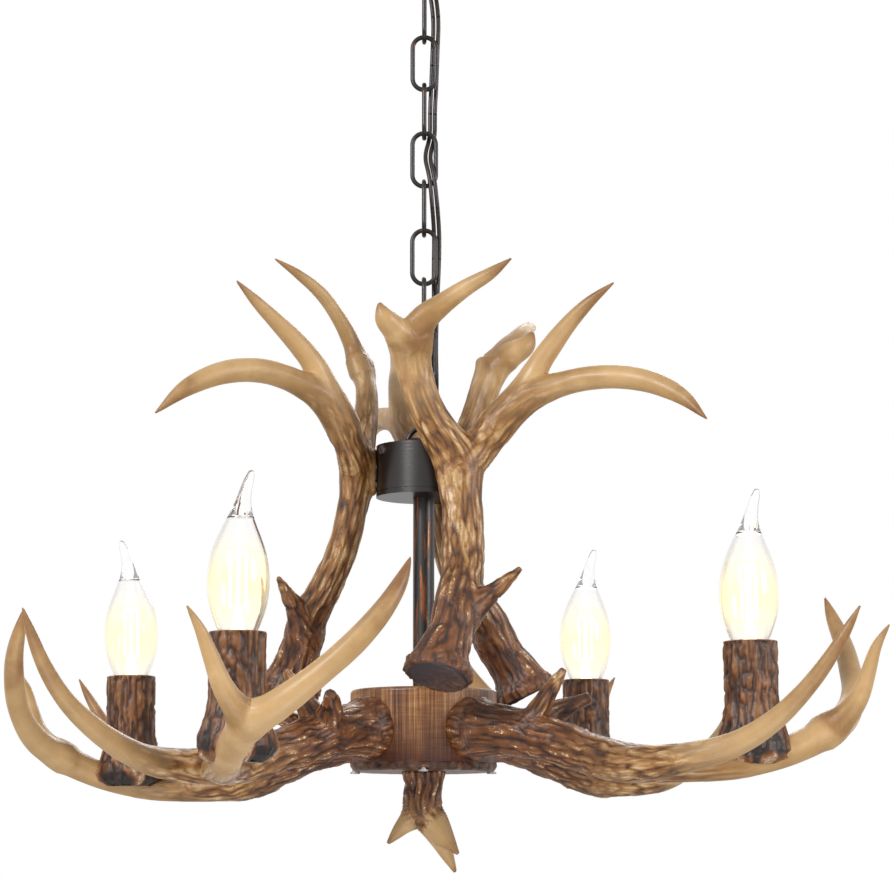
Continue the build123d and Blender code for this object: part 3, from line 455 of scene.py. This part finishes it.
# An antler: tubes joined in one skin, softened, webbed at the forks, and given its bark.
def antlerMesh(name, tines, seed, voxel=0.9):
    lines = [tineLine(tine) for tine in tines]
    skin = oneSkin([tineTube(line) for line in lines], voxel)
    points = smoothed(skin, 5) / mm
    putVertices(skin, points * mm)
    normals = normalsOf(skin)
    away = np.full((len(lines), len(points)), 1e3)
    groove = np.zeros_like(away)
    bark = np.zeros_like(away)
    toTip = np.zeros_like(away)
    cut = np.zeros(len(points))
    burr = np.zeros(len(points))
    for index, line in enumerate(lines):
        nearest = np.empty(len(points), int)
        for start in range(0, len(points), 20000):
            block = points[start:start + 20000]
            square = (line["centre"]**2).sum(1)[None] - 2 * block @ line["centre"].T
            nearest[start:start + 20000] = square.argmin(1)
        offset = points - line["centre"][nearest]
        aside = (offset * line["across"][nearest]).sum(1)
        over = (offset * line["up"][nearest]).sum(1)
        half = line["half"][nearest]
        ratio = np.sqrt((aside / half[:, 0])**2 + (over / half[:, 1])**2)
        beyond = np.abs((offset * np.cross(line["across"], line["up"])[nearest]).sum(1))
        away[index] = (ratio - 1) * half.min(1) + beyond
        groove[index] = grooveHeight(aside, over, line["at"][nearest], seed + 11 * index)
        bark[index] = line["bark"][nearest]
        toTip[index] = line["tip"] * line["at"][nearest] / line["at"][-1]
        if tines[index].get("sawn"):
            end = (points - line["centre"][0]) @ np.cross(line["across"][0], line["up"][0])
            cut = np.clip(barkLook["cutReach"] - np.abs(end), 0, 1)
            burr = np.exp(-(np.maximum(end, 0) / barkLook["burrReach"])**2)
    # A point takes its bark from each tine by how near it is, falling off as e to the minus distance.
    share = np.exp(-np.maximum(away - away.min(0), 0) / barkLook["forkBlend"])
    share /= share.sum(0)
    # The web at a fork grows with the square of how evenly a point lies between its two nearest tines.
    closest = np.sort(away, axis=0)
    fillet = np.clip(barkLook["web"] - (closest[1] - closest[0]), 0, None)**2 / barkLook["web"] / 5
    groove, bark, toTip = (groove * share).sum(0), (bark * share).sum(0), (toTip * share).sum(0)
    slim = np.clip((1 - toTip) * barkLook["tipFade"], 0, 1)
    pearls = latticeNoise(points / barkLook["burrLump"], seed + 5)
    lumps = latticeNoise(points / barkLook["lumpSize"], seed + 9) - 0.5
    depth = barkLook["smoothTineDepth"] + (barkLook["grooveDepth"] - barkLook["smoothTineDepth"]) * bark
    height = (groove - 0.6) * depth + lumps * barkLook["lumpDepth"] * bark
    height = height * (1 - cut) * slim + (pearls - 0.25) * barkLook["burrDepth"] * burr * (1 - cut)
    points += normals * (height + fillet * (1 - cut))[:, None]
    putVertices(skin, points * mm)
    putAttribute(skin, "relief", np.clip(groove * (1 - 0.5 * burr) + 0.5 * burr * pearls, 0, 1))
    putAttribute(skin, "bark", np.clip(bark + burr, 0, 1))
    putAttribute(skin, "toTip", toTip)
    putAttribute(skin, "cut", cut)
    skin.name = name
    print(name, len(skin.vertices), "vertices")
    return skin


# A finished mesh becomes an object that rides on a body and stands for its CAD nodes.
def putPiece(name, mesh, body, slot, nodes, material=None):
    obj = bpy.data.objects.new(name, mesh)
    bpy.context.collection.objects.link(obj)
    mesh.shade_smooth()
    dress(obj, material or materials[slot])
    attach(obj, body)
    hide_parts(*nodes)
    return obj


# ---- arm antlers

# Stations are x along the arm, y to its left, height over the hub's lower edge, half width, half thickness, in mm.
armTines = {
    "main": {"bark": [(0, 1), (0.25, 0.9), (0.45, 0.55), (0.58, 0.2), (0.7, 0.05), (1, 0)], "stations": [
        (40, -3, 26, 15.5, 15.5), (56, -2.5, 24.5, 15.5, 15.5), (75, 0, 22, 14.5, 14.5), (100, 3, 16.5, 13.2, 13.2),
        (128, 4, 8.5, 12.6, 12.2), (158, 1, 1.5, 12.2, 11.2), (190, -5, -1.5, 10.4, 9.8), (218, -4, 0.5, 8.6, 8.6),
        (244, 2, 6, 7.3, 7.3), (268, 4.5, 16.5, 6.3, 6.3), (290, 5.5, 31.5, 5.2, 5.2), (307, 8, 49, 4.3, 4.3),
        (319, 11, 66, 3.0, 3.0), (327, 13.2, 79, 0.9, 0.9)]},
    "crown": {"bark": [(0, 0.55), (0.18, 0.3), (0.36, 0.06), (1, 0)], "stations": [
        (140, 2, 3, 9.5, 8.5), (168, 9, -2.5, 12.5, 9.0), (192, 25, -3.6, 11.5, 8.6), (212, 50, -1.5, 9.4, 8.6),
        (228, 74, 6, 9.0, 8.8), (238, 98, 17.5, 9.8, 9.4), (236, 118, 26.5, 8.6, 8.6), (227, 139, 42, 7.0, 7.0),
        (213, 155, 61, 6.7, 6.7), (201, 164, 79, 5.6, 5.6), (192, 167, 94, 3.8, 3.8), (186.5, 168, 106, 0.9, 0.9)]},
    "side": {"bark": [(0, 0.05), (1, 0)], "stations": [
        (236, 96, 17, 8.5, 8.5), (249, 99, 25, 7.6, 7.6), (260, 100, 36, 6.0, 6.0), (268, 99.5, 51, 4.6, 4.6),
        (275, 98.5, 65, 3.2, 3.2), (285, 98.5, 77.5, 0.9, 0.9)]},
    "brow": {"bark": [(0, 1), (1, 0.7)], "stations": [
        (86, 0, 22, 8.5, 8.5), (98, 0, 34, 6.6, 6.6), (108, 0, 45, 5.0, 5.0), (119, 0, 57, 2.2, 2.2)]},
    "knob": {"bark": [(0, 1), (1, 0.9)], "stations": [
        (84, 2, 22, 9.0, 9.0), (97, 17, 33, 6.8, 6.8), (112, 31, 42, 3.6, 3.6)]},
    "burr": {"bark": [(0, 1), (1, 1)], "tip": 0.0, "stations": [
        (42, -3, 25.8, 17.5, 17.5), (46, -3, 25.5, 18.6, 18.6), (51, -2.8, 25, 17.6, 17.6),
        (55, -2.6, 24.6, 14.5, 14.5)]},
}
armLook = {"pivotOut": 45.5, "pivotHeight": 25.5}


# Where an arm sits: turned to its side of the hub, with its small rise about the hub's edge.
def armSeat(name):
    pivot = Matrix.Translation((armLook["pivotOut"] * mm, 0, armLook["pivotHeight"] * mm))
    tilt = pivot @ Matrix.Rotation(radians(-armRise[name]), 4, "Y") @ pivot.inverted()
    return Matrix.Translation((0, 0, hubBottom * mm)) @ Matrix.Rotation(radians(armTurn[name]), 4, "Z") @ tilt


armTemplate = antlerMesh("arm antler", list(armTines.values()), 3)
for name in armTurn:
    mesh = armTemplate.copy()
    mesh.transform(armSeat(name))
    putPiece(f"arm_antler_{name}_skin", mesh, "fixture", "antler_resin", [f"arm_antler_{name}"])
print("arm antlers done")

# ---- upper antlers

# Stations are measured as an arm's are, but their heights are over the collar's top.
upperCommon = {
    "main": {"sawn": True, "tip": 0.5, "stations": [
        (94, -6.5, -152, 17.5, 15.5), (90, -3.5, -141, 16.0, 14.5), (83, 3, -127, 13.8, 12.8),
        (75, 8, -108, 13.2, 11.0), (59, 14.7, -86, 13.2, 9.6), (47, 17, -61, 13.2, 8.8), (41, 17, -36, 13.2, 8.6),
        (39.5, 14, -14, 14.6, 8.6), (41.5, 3, 3, 12.4, 8.4), (42.5, -6, 20, 11.2, 7.6), (44.5, -13, 41, 11.4, 6.4),
        (51, -16, 60, 12.6, 6.2)],
        "bark": [(0, 1), (0.22, 0.85), (0.4, 0.6), (0.62, 0.5), (0.85, 0.25), (1, 0.1)]},
    "outer": {"bark": [(0, 0.45), (0.3, 0.25), (0.55, 0.04), (1, 0)], "stations": [
        (41, 10, -22, 10.0, 7.4), (37, 26, -8, 11.8, 8.8), (38.5, 40, 9, 11.2, 9.2), (42.5, 53, 26, 9.2, 8.6),
        (47.5, 62.5, 43, 7.4, 7.4), (56, 71.5, 57, 6.6, 6.6), (65.5, 80, 69, 5.4, 5.4), (75, 91, 81, 3.8, 3.8),
        (83, 105.5, 92.8, 0.9, 0.9)]},
    "long": {"bark": [(0, 0.3), (0.3, 0.12), (0.5, 0.03), (1, 0)], "stations": [
        (38.5, 38, 8, 9.0, 8.4), (45, 55, 23, 9.2, 8.6), (56, 78, 33, 7.8, 7.8), (69, 103, 36, 7.5, 7.5),
        (83, 125, 31.5, 7.0, 7.0), (98, 143, 20, 5.2, 5.2), (112, 155, 4, 0.9, 0.9)]},
    "brow": {"bark": [(0, 1), (1, 0.75)], "stations": [
        (76, 6, -121, 10.0, 9.0), (76, 22, -106, 6.8, 6.4), (77, 35, -95, 4.6, 4.6), (79, 47, -84.5, 1.8, 1.8)]},
    "stub": {"bark": [(0, 0.1), (1, 0)], "stations": [
        (49, -16, 55, 8.4, 6.6), (56, -27, 64, 7.8, 7.4), (61.5, -34.5, 71, 6.2, 6.2), (63.5, -38, 79, 1.4, 1.4)]},
    "burr": {"bark": [(0, 1), (1, 1)], "tip": 0.0, "stations": [
        (94.2, -6.7, -152.6, 17.6, 16.6), (92.8, -5.6, -148.8, 19.2, 18.0), (91, -4.3, -144, 17.4, 15.8)]},
    "lug": {"bark": [(0, 0.1), (1, 0.1)], "tip": 0.3, "stations": [
        (28.3, 10.9, -16, 7.2, 14.5), (33, 12.7, -16, 7.2, 14.5), (40, 15.4, -16, 7.2, 14.0)]},
}
upperCrown = {
    "front": [(50, -16, 57, 10.0, 6.2), (54.5, -9, 71, 9.0, 7.2), (58, 3, 81, 6.8, 6.8), (64, 16, 90, 5.4, 5.4),
              (74, 29, 97, 4.0, 4.0), (89, 40, 104, 0.9, 0.9)],
    "left": [(49.2, -15.5, 53, 9.6, 6.0), (55, -11, 74, 7.4, 5.6), (60, 0, 89, 5.2, 4.8), (66.5, 13, 102, 4.4, 4.4),
             (76, 26, 112, 3.2, 3.2), (88, 37, 121, 0.9, 0.9)],
    "back": [(50, -16, 57, 10.0, 6.2), (60, -17, 68, 8.4, 7.0), (74, -15, 77, 7.0, 6.6), (90, -9, 86, 5.4, 5.4),
             (107, -1, 93, 3.8, 3.8), (124, 9, 97, 0.9, 0.9)],
}
for name, turn in upperTurn.items():
    tines = list(upperCommon.values()) + [{"bark": [(0, 0.12), (0.3, 0.03), (1, 0)], "stations": upperCrown[name]}]
    mesh = antlerMesh(f"upper antler {name}", tines, 3)
    mesh.transform(Matrix.Translation((0, 0, collarTop * mm)) @ Matrix.Rotation(radians(turn), 4, "Z"))
    putPiece(f"upper_antler_{name}_skin", mesh, "fixture", "antler_resin", [f"upper_antler_{name}"])
print("upper antlers done")

# ---- finial antler

finialTines = [
    {"bark": [(0, 1), (0.4, 0.9), (0.6, 0.1), (1, 0)], "stations": [
        (0, 0, 0, 13.7, 13.7), (0, 0, -7, 12.0, 12.0), (-0.4, 0, -16, 11.2, 11.0), (0.5, 0, -24, 10.6, 9.8),
        (7, -1.5, -32, 8.2, 8.2), (14, -5, -41, 5.6, 5.6), (21.5, -9, -50.5, 1.2, 1.2)]},
    {"bark": [(0, 0.6), (0.3, 0.06), (1, 0)], "stations": [
        (-1, 0, -18, 9.0, 8.6), (-7, -1, -27, 6.8, 6.6), (-15, -2, -36, 4.4, 4.4), (-22, -3, -44, 1.2, 1.2)]},
    {"bark": [(0, 0.6), (0.3, 0.06), (1, 0)], "stations": [
        (2, 1, -22, 8.6, 8.6), (7, 3, -34, 7.2, 7.2), (13.5, 6, -48, 4.9, 4.9), (20, 8, -61.5, 1.2, 1.2)]},
]
mesh = antlerMesh("finial antler", finialTines, 21, 0.6)
mesh.transform(Matrix.Translation((0, 0, hubBottom * mm)))
putPiece("finial_antler_skin", mesh, "fixture", "antler_resin", ["finial_antler"])


# ---- turned pieces

# A closed shell turned round Z from profile points (radius, height).  Each ring is pushed out by
# push(turn, height, radius), and a fan to a point on the axis closes each end.
def turnedMesh(name, profile, around, push=None):
    radius, height = np.array(profile, float).T
    turn = np.linspace(0, 2 * pi, around, endpoint=False)
    wide = np.repeat(radius[:, None], around, 1)
    tall = np.repeat(height[:, None], around, 1)
    if push is not None:
        wide = wide + push(np.repeat(turn[None], len(radius), 0), tall, wide)
    points = np.stack([wide * np.cos(turn), wide * np.sin(turn), tall], -1).reshape(-1, 3)
    ring, step = np.meshgrid(np.arange(len(radius) - 1), np.arange(around), indexing="ij")
    a = ring * around + step
    b = ring * around + (step + 1) % around
    faces = np.stack([a, b, b + around, a + around], -1).reshape(-1, 4)
    first = np.arange(around)
    after = (first + 1) % around
    last = (len(radius) - 1) * around
    points = np.vstack([points, [[0, 0, height[0]], [0, 0, height[-1]]]])
    low = np.stack([after, first, np.full(around, last + around)], -1)
    high = np.stack([last + first, last + after, np.full(around, last + around + 1)], -1)
    mesh = bpy.data.meshes.new(name)
    mesh.from_pydata((points * mm).tolist(), [], faces.tolist() + low.tolist() + high.tolist())
    return mesh


# A profile with its runs divided, so that relief has points to move.
def finely(profile, step):
    rows = [profile[0]]
    for (r0, z0), (r1, z1) in zip(profile[:-1], profile[1:]):
        count = max(int(np.hypot(r1 - r0, z1 - z0) / step), 1)
        rows += [(r0 + (r1 - r0) * k / count, z0 + (z1 - z0) * k / count) for k in range(1, count + 1)]
    return rows


sleeveLook = {"out": 212.6, "side": 59.8, "radius": 16.5, "bore": 13.7, "top": 70.0, "bootTop": 30.0, "floor": 28.0,
              "barkWidth": 2.2, "barkLength": 9.0, "barkDepth": 1.9, "bootLump": 7.0, "bootDepth": 4.5}


# Bark on a sleeve: noise narrow round it and long down it, cut off flat on top, with lumps towards the boot.
def sleeveBark(turn, tall, wide):
    look = sleeveLook
    spots = np.stack([np.cos(turn) * look["radius"], np.sin(turn) * look["radius"], tall], -1).reshape(-1, 3)
    scaled = spots / [look["barkWidth"], look["barkWidth"], look["barkLength"]]
    plates = np.minimum(np.abs(2 * latticeNoise(scaled, 41) - 1) / 0.45, 1)
    chips = latticeNoise(spots / 2.6, 43)
    lumps = latticeNoise(spots / look["bootLump"], 47) - 0.5
    relief = (0.65 * plates + 0.35 * chips).reshape(turn.shape)
    outer = (wide > look["bore"] + 0.5) & (tall < look["top"] - 0.3)
    boot = np.clip((look["bootTop"] - tall) / look["bootTop"], 0, 1)
    push = (relief - 1) * look["barkDepth"] + lumps.reshape(turn.shape) * look["bootDepth"] * boot
    return np.where(outer, push, 0.0)


sleeveProfile = finely([(0.1, -2), (16, -2), (21.5, 1.5), (23.5, 6), (22.5, 11), (19.6, 19), (17.4, 27),
                        (sleeveLook["radius"], 33), (sleeveLook["radius"], 69.2), (15.9, sleeveLook["top"]),
                        (sleeveLook["bore"], sleeveLook["top"]), (sleeveLook["bore"], sleeveLook["floor"]),
                        (0.1, sleeveLook["floor"])], 0.9)
sleeveTemplate = turnedMesh("sleeve", sleeveProfile, 120, sleeveBark)
where = verticesOf(sleeveTemplate) / mm
turns = np.arctan2(where[:, 1], where[:, 0])
depths = sleeveBark(turns, where[:, 2], np.full(len(where), sleeveLook["radius"]))
putAttribute(sleeveTemplate, "relief", np.clip(1 + depths / (sleeveLook["barkDepth"] * 1.1), 0, 1))
for name in armTurn:
    mesh = sleeveTemplate.copy()
    mesh.transform(armSeat(name) @ Matrix.Translation((sleeveLook["out"] * mm, sleeveLook["side"] * mm, 0)))
    putPiece(f"candle_sleeve_{name}_skin", mesh, "fixture", "bark_resin", [f"candle_sleeve_{name}"])
print("sleeves done")

# ---- hub plate with its ragged rim

plateLook = {"radius": 44.8, "bore": 4.2, "thick": 6.5, "ragFrom": 38, "lump": 4.0, "depth": 2.4}


# A rough rim: noise pushes the edge out and in.
def ragged(turn, tall, wide):
    spots = np.stack([np.cos(turn) * wide, np.sin(turn) * wide, tall], -1).reshape(-1, 3)
    lumps = latticeNoise(spots / plateLook["lump"], 61) - 0.45
    return np.where(wide > plateLook["ragFrom"], lumps.reshape(turn.shape) * plateLook["depth"], 0.0)


plateProfile = finely([(plateLook["bore"], 0), (42, 0), (44.3, 1.2), (plateLook["radius"], 3.5), (44.5, 6.4),
                       (44, plateLook["thick"]), (plateLook["bore"], plateLook["thick"])], 0.8)
plateMesh = turnedMesh("hub plate", plateProfile, 200, ragged)
where = verticesOf(plateMesh) / mm
crests = latticeNoise(where / 2.2, 63)
putAttribute(plateMesh, "relief", np.clip(crests, 0, 1))
plateMesh.transform(Matrix.Translation((0, 0, hubBottom * mm)))
putPiece("hub_plate_skin", plateMesh, "fixture", "brushed_wood_finish", ["hub_plate"], materials["bark_resin"])

# ---- bulbs

bulbLook = {"holderTop": 66.5, "wall": 0.9, "hollowFrom": 1.8, "solidAbove": 68.0, "glowHeight": 30.0,
            "glowReach": 19.0}
bulbRings = [(0.6, 8.6, 0.0), (4, 11.0, 0.0), (10, 13.6, 0.0), (18, 16.1, 0.0), (27, 17.4, 0.0), (36, 17.4, 0.0),
             (46, 15.9, 0.1), (55, 13.0, 0.2), (63, 9.6, 0.5), (70, 6.6, 1.1), (77, 4.5, 2.2), (84, 3.4, 3.8),
             (90, 2.7, 5.6), (94, 1.6, 6.8)]
bulbLeanTurn = {"front_left": 0.0, "front_right": 12.0, "back_right": 5.0, "back_left": 180.0}


# Several meshes as one, each keeping its own closed skin.
def joinMeshes(name, meshes):
    points, faces = [], []
    for mesh in meshes:
        start = sum(len(done) for done in points)
        points.append(verticesOf(mesh))
        faces += [[corner + start for corner in face.vertices] for face in mesh.polygons]
    joined = bpy.data.meshes.new(name)
    joined.from_pydata(np.vstack(points).tolist(), [], faces)
    return joined


# A bulb's glass: the outer skin up to the tip and the inner skin back down, leaning as its height says.
def bulbMesh():
    rings = np.array([(0, 0, height, radius, lean) for height, radius, lean in bulbRings], float)
    rows = alongStations(rings, 1.2)[1]
    height, radius = rows[:, 2], rows[:, 3]
    hollow = (height > bulbLook["hollowFrom"]) & (height < bulbLook["solidAbove"])
    outside = np.vstack([np.stack([radius, height], -1), [[0.5, height[-1] + 0.6]]])
    inside = np.stack([radius[hollow] - bulbLook["wall"], height[hollow]], -1)[::-1]
    glass = joinMeshes("bulb glass", [turnedMesh("outside", outside, 64), turnedMesh("inside", inside, 64)])
    where = verticesOf(glass) / mm
    where[:, 0] += np.interp(where[:, 2], rings[:, 2], rings[:, 4])
    putVertices(glass, where * mm)
    # Weight of the glass's painted glow: strongest at the filament's height, falling off above and below.
    glow = np.exp(-((where[:, 2] - bulbLook["glowHeight"]) / bulbLook["glowReach"])**2)
    putAttribute(glass, "glow", glow)
    return glass


bulbTemplate = bulbMesh()
for name, turn in armTurn.items():
    seat = armSeat(name) @ Matrix.Translation((sleeveLook["out"] * mm, sleeveLook["side"] * mm,
                                               bulbLook["holderTop"] * mm))
    mesh = bulbTemplate.copy()
    mesh.transform(seat @ Matrix.Rotation(radians(bulbLeanTurn[name] - turn), 4, "Z"))
    putPiece(f"bulb_glass_{name}_skin", mesh, f"bulb_{name}", "clear_glass", [f"bulb_glass_{name}"])
print("bulbs done")

# ---- supply leads

# The routes are the CAD's, in mm.
leadRoutes = {
    "outer": [(1.6, 0.0, -1.0), (1.6, 0.0, -29.0), (7.0, 4.1, -41.5), (9.4, 2.4, -62.0), (8.5, 3.7, -84.0),
              (7.8, 5.9, -106.0), (6.9, 7.2, -121.0), (6.9, 5.1, -140.0), (3.4, 0.2, -154.0),
              (6.4, -4.6, -168.0), (8.3, -4.2, -185.0), (9.9, 3.1, -205.0), (9.5, 3.6, -226.0),
              (8.3, 3.1, -250.0), (7.6, 3.8, -278.0), (8.2, 9.2, -304.0), (7.4, 18.5, -323.0),
              (7.2, 19.6, -348.0), (5.2, 9.7, -359.0), (2.0, 0.8, -369.0), (1.8, -0.4, -392.0),
              (1.9, 0.5, -425.0), (1.7, -0.3, -462.0), (1.8, 0.3, -498.0), (4.6, 0.0, -515.0),
              (4.6, 0.0, -523.0)],
    "inner": [(-1.6, 0.0, -1.0), (-1.6, 0.0, -29.0), (3.5, 4.7, -41.5), (6.1, 3.0, -62.0), (5.3, 4.6, -84.0),
              (4.5, 5.2, -106.0), (3.8, 6.0, -121.0), (3.8, 4.5, -140.0), (0.1, 0.0, -154.0),
              (3.4, -4.8, -168.0), (5.0, -5.0, -185.0), (6.6, 4.2, -205.0), (6.2, 5.5, -226.0),
              (6.4, 6.3, -250.0), (5.7, 7.1, -278.0), (4.7, 10.4, -304.0), (4.0, 18.9, -323.0),
              (4.0, 19.4, -348.0), (1.8, 9.5, -359.0), (-1.3, 0.7, -369.0), (-1.5, 0.4, -392.0),
              (-1.4, -0.5, -425.0), (-1.6, 0.3, -462.0), (-1.6, -0.2, -498.0), (-4.6, 0.0, -515.0),
              (-4.6, 0.0, -523.0)],
}
leadLook = {"radius": 1.4, "around": 14, "cornerShare": 0.45, "bendHalf": 9}


# Each corner of a route is rounded off by a curve that starts and ends a share of its shorter run away.
def roundedLine(route):
    corners = np.array(route, float)
    t = np.linspace(0, 1, 9)[:, None]
    points = [corners[:1]]
    for before, corner, after in zip(corners[:-2], corners[1:-1], corners[2:]):
        back, on = before - corner, after - corner
        cut = leadLook["cornerShare"] * min(np.linalg.norm(back), np.linalg.norm(on))
        start = corner + back / np.linalg.norm(back) * cut
        end = corner + on / np.linalg.norm(on) * cut
        points.append((1 - t)**2 * start + 2 * t * (1 - t) * corner + t**2 * end)
    rough = np.vstack(points + [corners[-1:]])
    at = np.r_[0, np.cumsum(np.linalg.norm(np.diff(rough, axis=0), axis=1))]
    even = np.linspace(0, at[-1], int(at[-1] / 1.0))
    return np.stack([np.interp(even, at, rough[:, axis]) for axis in range(3)], -1)


# A closed round tube along a line of points.
def tubeAlong(points, radius, around):
    at = np.r_[0, np.cumsum(np.linalg.norm(np.diff(points, axis=0), axis=1))]
    along = np.gradient(points, at, axis=0)
    along /= np.linalg.norm(along, axis=1)[:, None]
    across = np.cross(along, [0, 1, 0])
    across /= np.linalg.norm(across, axis=1)[:, None]
    line = {"centre": points, "across": across, "up": np.cross(along, across),
            "half": np.full((len(points), 2), radius)}
    return tineTube(line, around)


# Each lead is cut at the middle height of every link, so that each piece crosses one joint.
chainNames = [f"link_{number}" for number in range(1, 10)]
middles = [sum((corner.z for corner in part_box(f"chain_{name}")), 0.0) / 2 / mm for name in chainNames]
bodyNames = ["ceiling_fitting"] + chainNames + ["fixture"]
edges = [1e3] + middles + [-1e3]
leadLines = {side: roundedLine(route) for side, route in leadRoutes.items()}
for index in range(len(bodyNames) - 1):
    for side, line in leadLines.items():
        above, below = edges[index], edges[index + 1]
        inside = np.flatnonzero((line[:, 2] <= above) & (line[:, 2] >= below))
        span = line[max(inside[0] - 1, 0):inside[-1] + 2]
        points, faces = tubeAlong(span, leadLook["radius"], leadLook["around"])
        mesh = bpy.data.meshes.new(f"lead {side} {index}")
        mesh.from_pydata((points * mm).tolist(), [], faces)
        mesh.shade_smooth()
        piece = bpy.data.objects.new(f"supply_lead_{side}_{index + 1}", mesh)
        bpy.context.collection.objects.link(piece)
        dress(piece, materials["lead_insulation"])
        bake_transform(piece)
        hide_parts("supply_leads")
print("leads done")

# ---- studio

floorMesh = bpy.data.meshes.new("floor")
reach, floorHeight = 6.0, -2.4
floorMesh.from_pydata([(-reach, -reach, floorHeight), (reach, -reach, floorHeight), (reach, reach, floorHeight),
                       (-reach, reach, floorHeight)], [], [(0, 1, 2, 3)])
floor = bpy.data.objects.new("studio_floor", floorMesh)
bpy.context.collection.objects.link(floor)
floorMaterial, floorTree, floorShader, _ = newMaterial("pale studio floor")
floorShader.inputs["Base Color"].default_value = linear("#f4f4f4")
floorShader.inputs["Roughness"].default_value = 0.9
dress(floor, floorMaterial)

# The camera meets pure white, also in reflections and through glass; a dimmer world lights everything else.
world = bpy.data.worlds.new("studio")
bpy.context.scene.world = world
world.use_nodes = True
worldTree = world.node_tree
rays = addNode(worldTree, "ShaderNodeLightPath")
seen = addNode(worldTree, "ShaderNodeMath", {0: rays.outputs["Is Camera Ray"], 1: rays.outputs["Is Glossy Ray"]},
               operation="MAXIMUM")
seen = addNode(worldTree, "ShaderNodeMath", {0: seen.outputs[0], 1: rays.outputs["Is Transmission Ray"]},
               operation="MAXIMUM")
dim = addNode(worldTree, "ShaderNodeBackground", {"Color": linear("#ffffff"), "Strength": 0.38})
white = addNode(worldTree, "ShaderNodeBackground", {"Color": linear("#ffffff"), "Strength": 1.0})
both = addNode(worldTree, "ShaderNodeMixShader", {0: seen.outputs[0], 1: dim.outputs[0], 2: white.outputs[0]})
worldTree.links.new(both.outputs[0], worldTree.nodes["World Output"].inputs["Surface"])

# Round area lights aimed at the fixture, each with its place and size in metres and its power in watts.
aim = Vector((0, 0, -0.42))
for name, place, size, power in (("key", (-1.3, -1.6, 0.5), 0.6, 30), ("fill", (1.8, -1.1, 0.1), 0.8, 18),
                                 ("back", (0.5, 1.9, 0.6), 1.0, 10), ("under", (0.0, -0.8, -1.35), 1.0, 5)):
    lamp = bpy.data.lights.new(name, "AREA")
    lamp.shape = "DISK"
    lamp.size = size
    lamp.energy = power
    holder = bpy.data.objects.new(name, lamp)
    bpy.context.collection.objects.link(holder)
    holder.location = place
    holder.rotation_euler = (aim - Vector(place)).to_track_quat("-Z", "Y").to_euler()

cameraLook = {"place": (0.0, -1.75, -0.612), "pitch": 8.93, "yaw": 0.48, "focalPixels": 2800, "imageWidth": 894}
camera = bpy.data.cameras.new("camera")
camera.sensor_fit = "HORIZONTAL"
camera.sensor_width = 36.0
camera.lens = cameraLook["focalPixels"] / cameraLook["imageWidth"] * camera.sensor_width
camera.clip_start = 0.05
holder = bpy.data.objects.new("camera", camera)
bpy.context.collection.objects.link(holder)
holder.location = cameraLook["place"]
pitch, yaw = radians(cameraLook["pitch"]), radians(cameraLook["yaw"])
forward = Vector((sin(yaw) * cos(pitch), cos(yaw) * cos(pitch), sin(pitch)))
holder.rotation_euler = forward.to_track_quat("-Z", "Y").to_euler()
bpy.context.scene.camera = holder
bpy.context.scene.view_settings.view_transform = "Standard"
print("studio done")
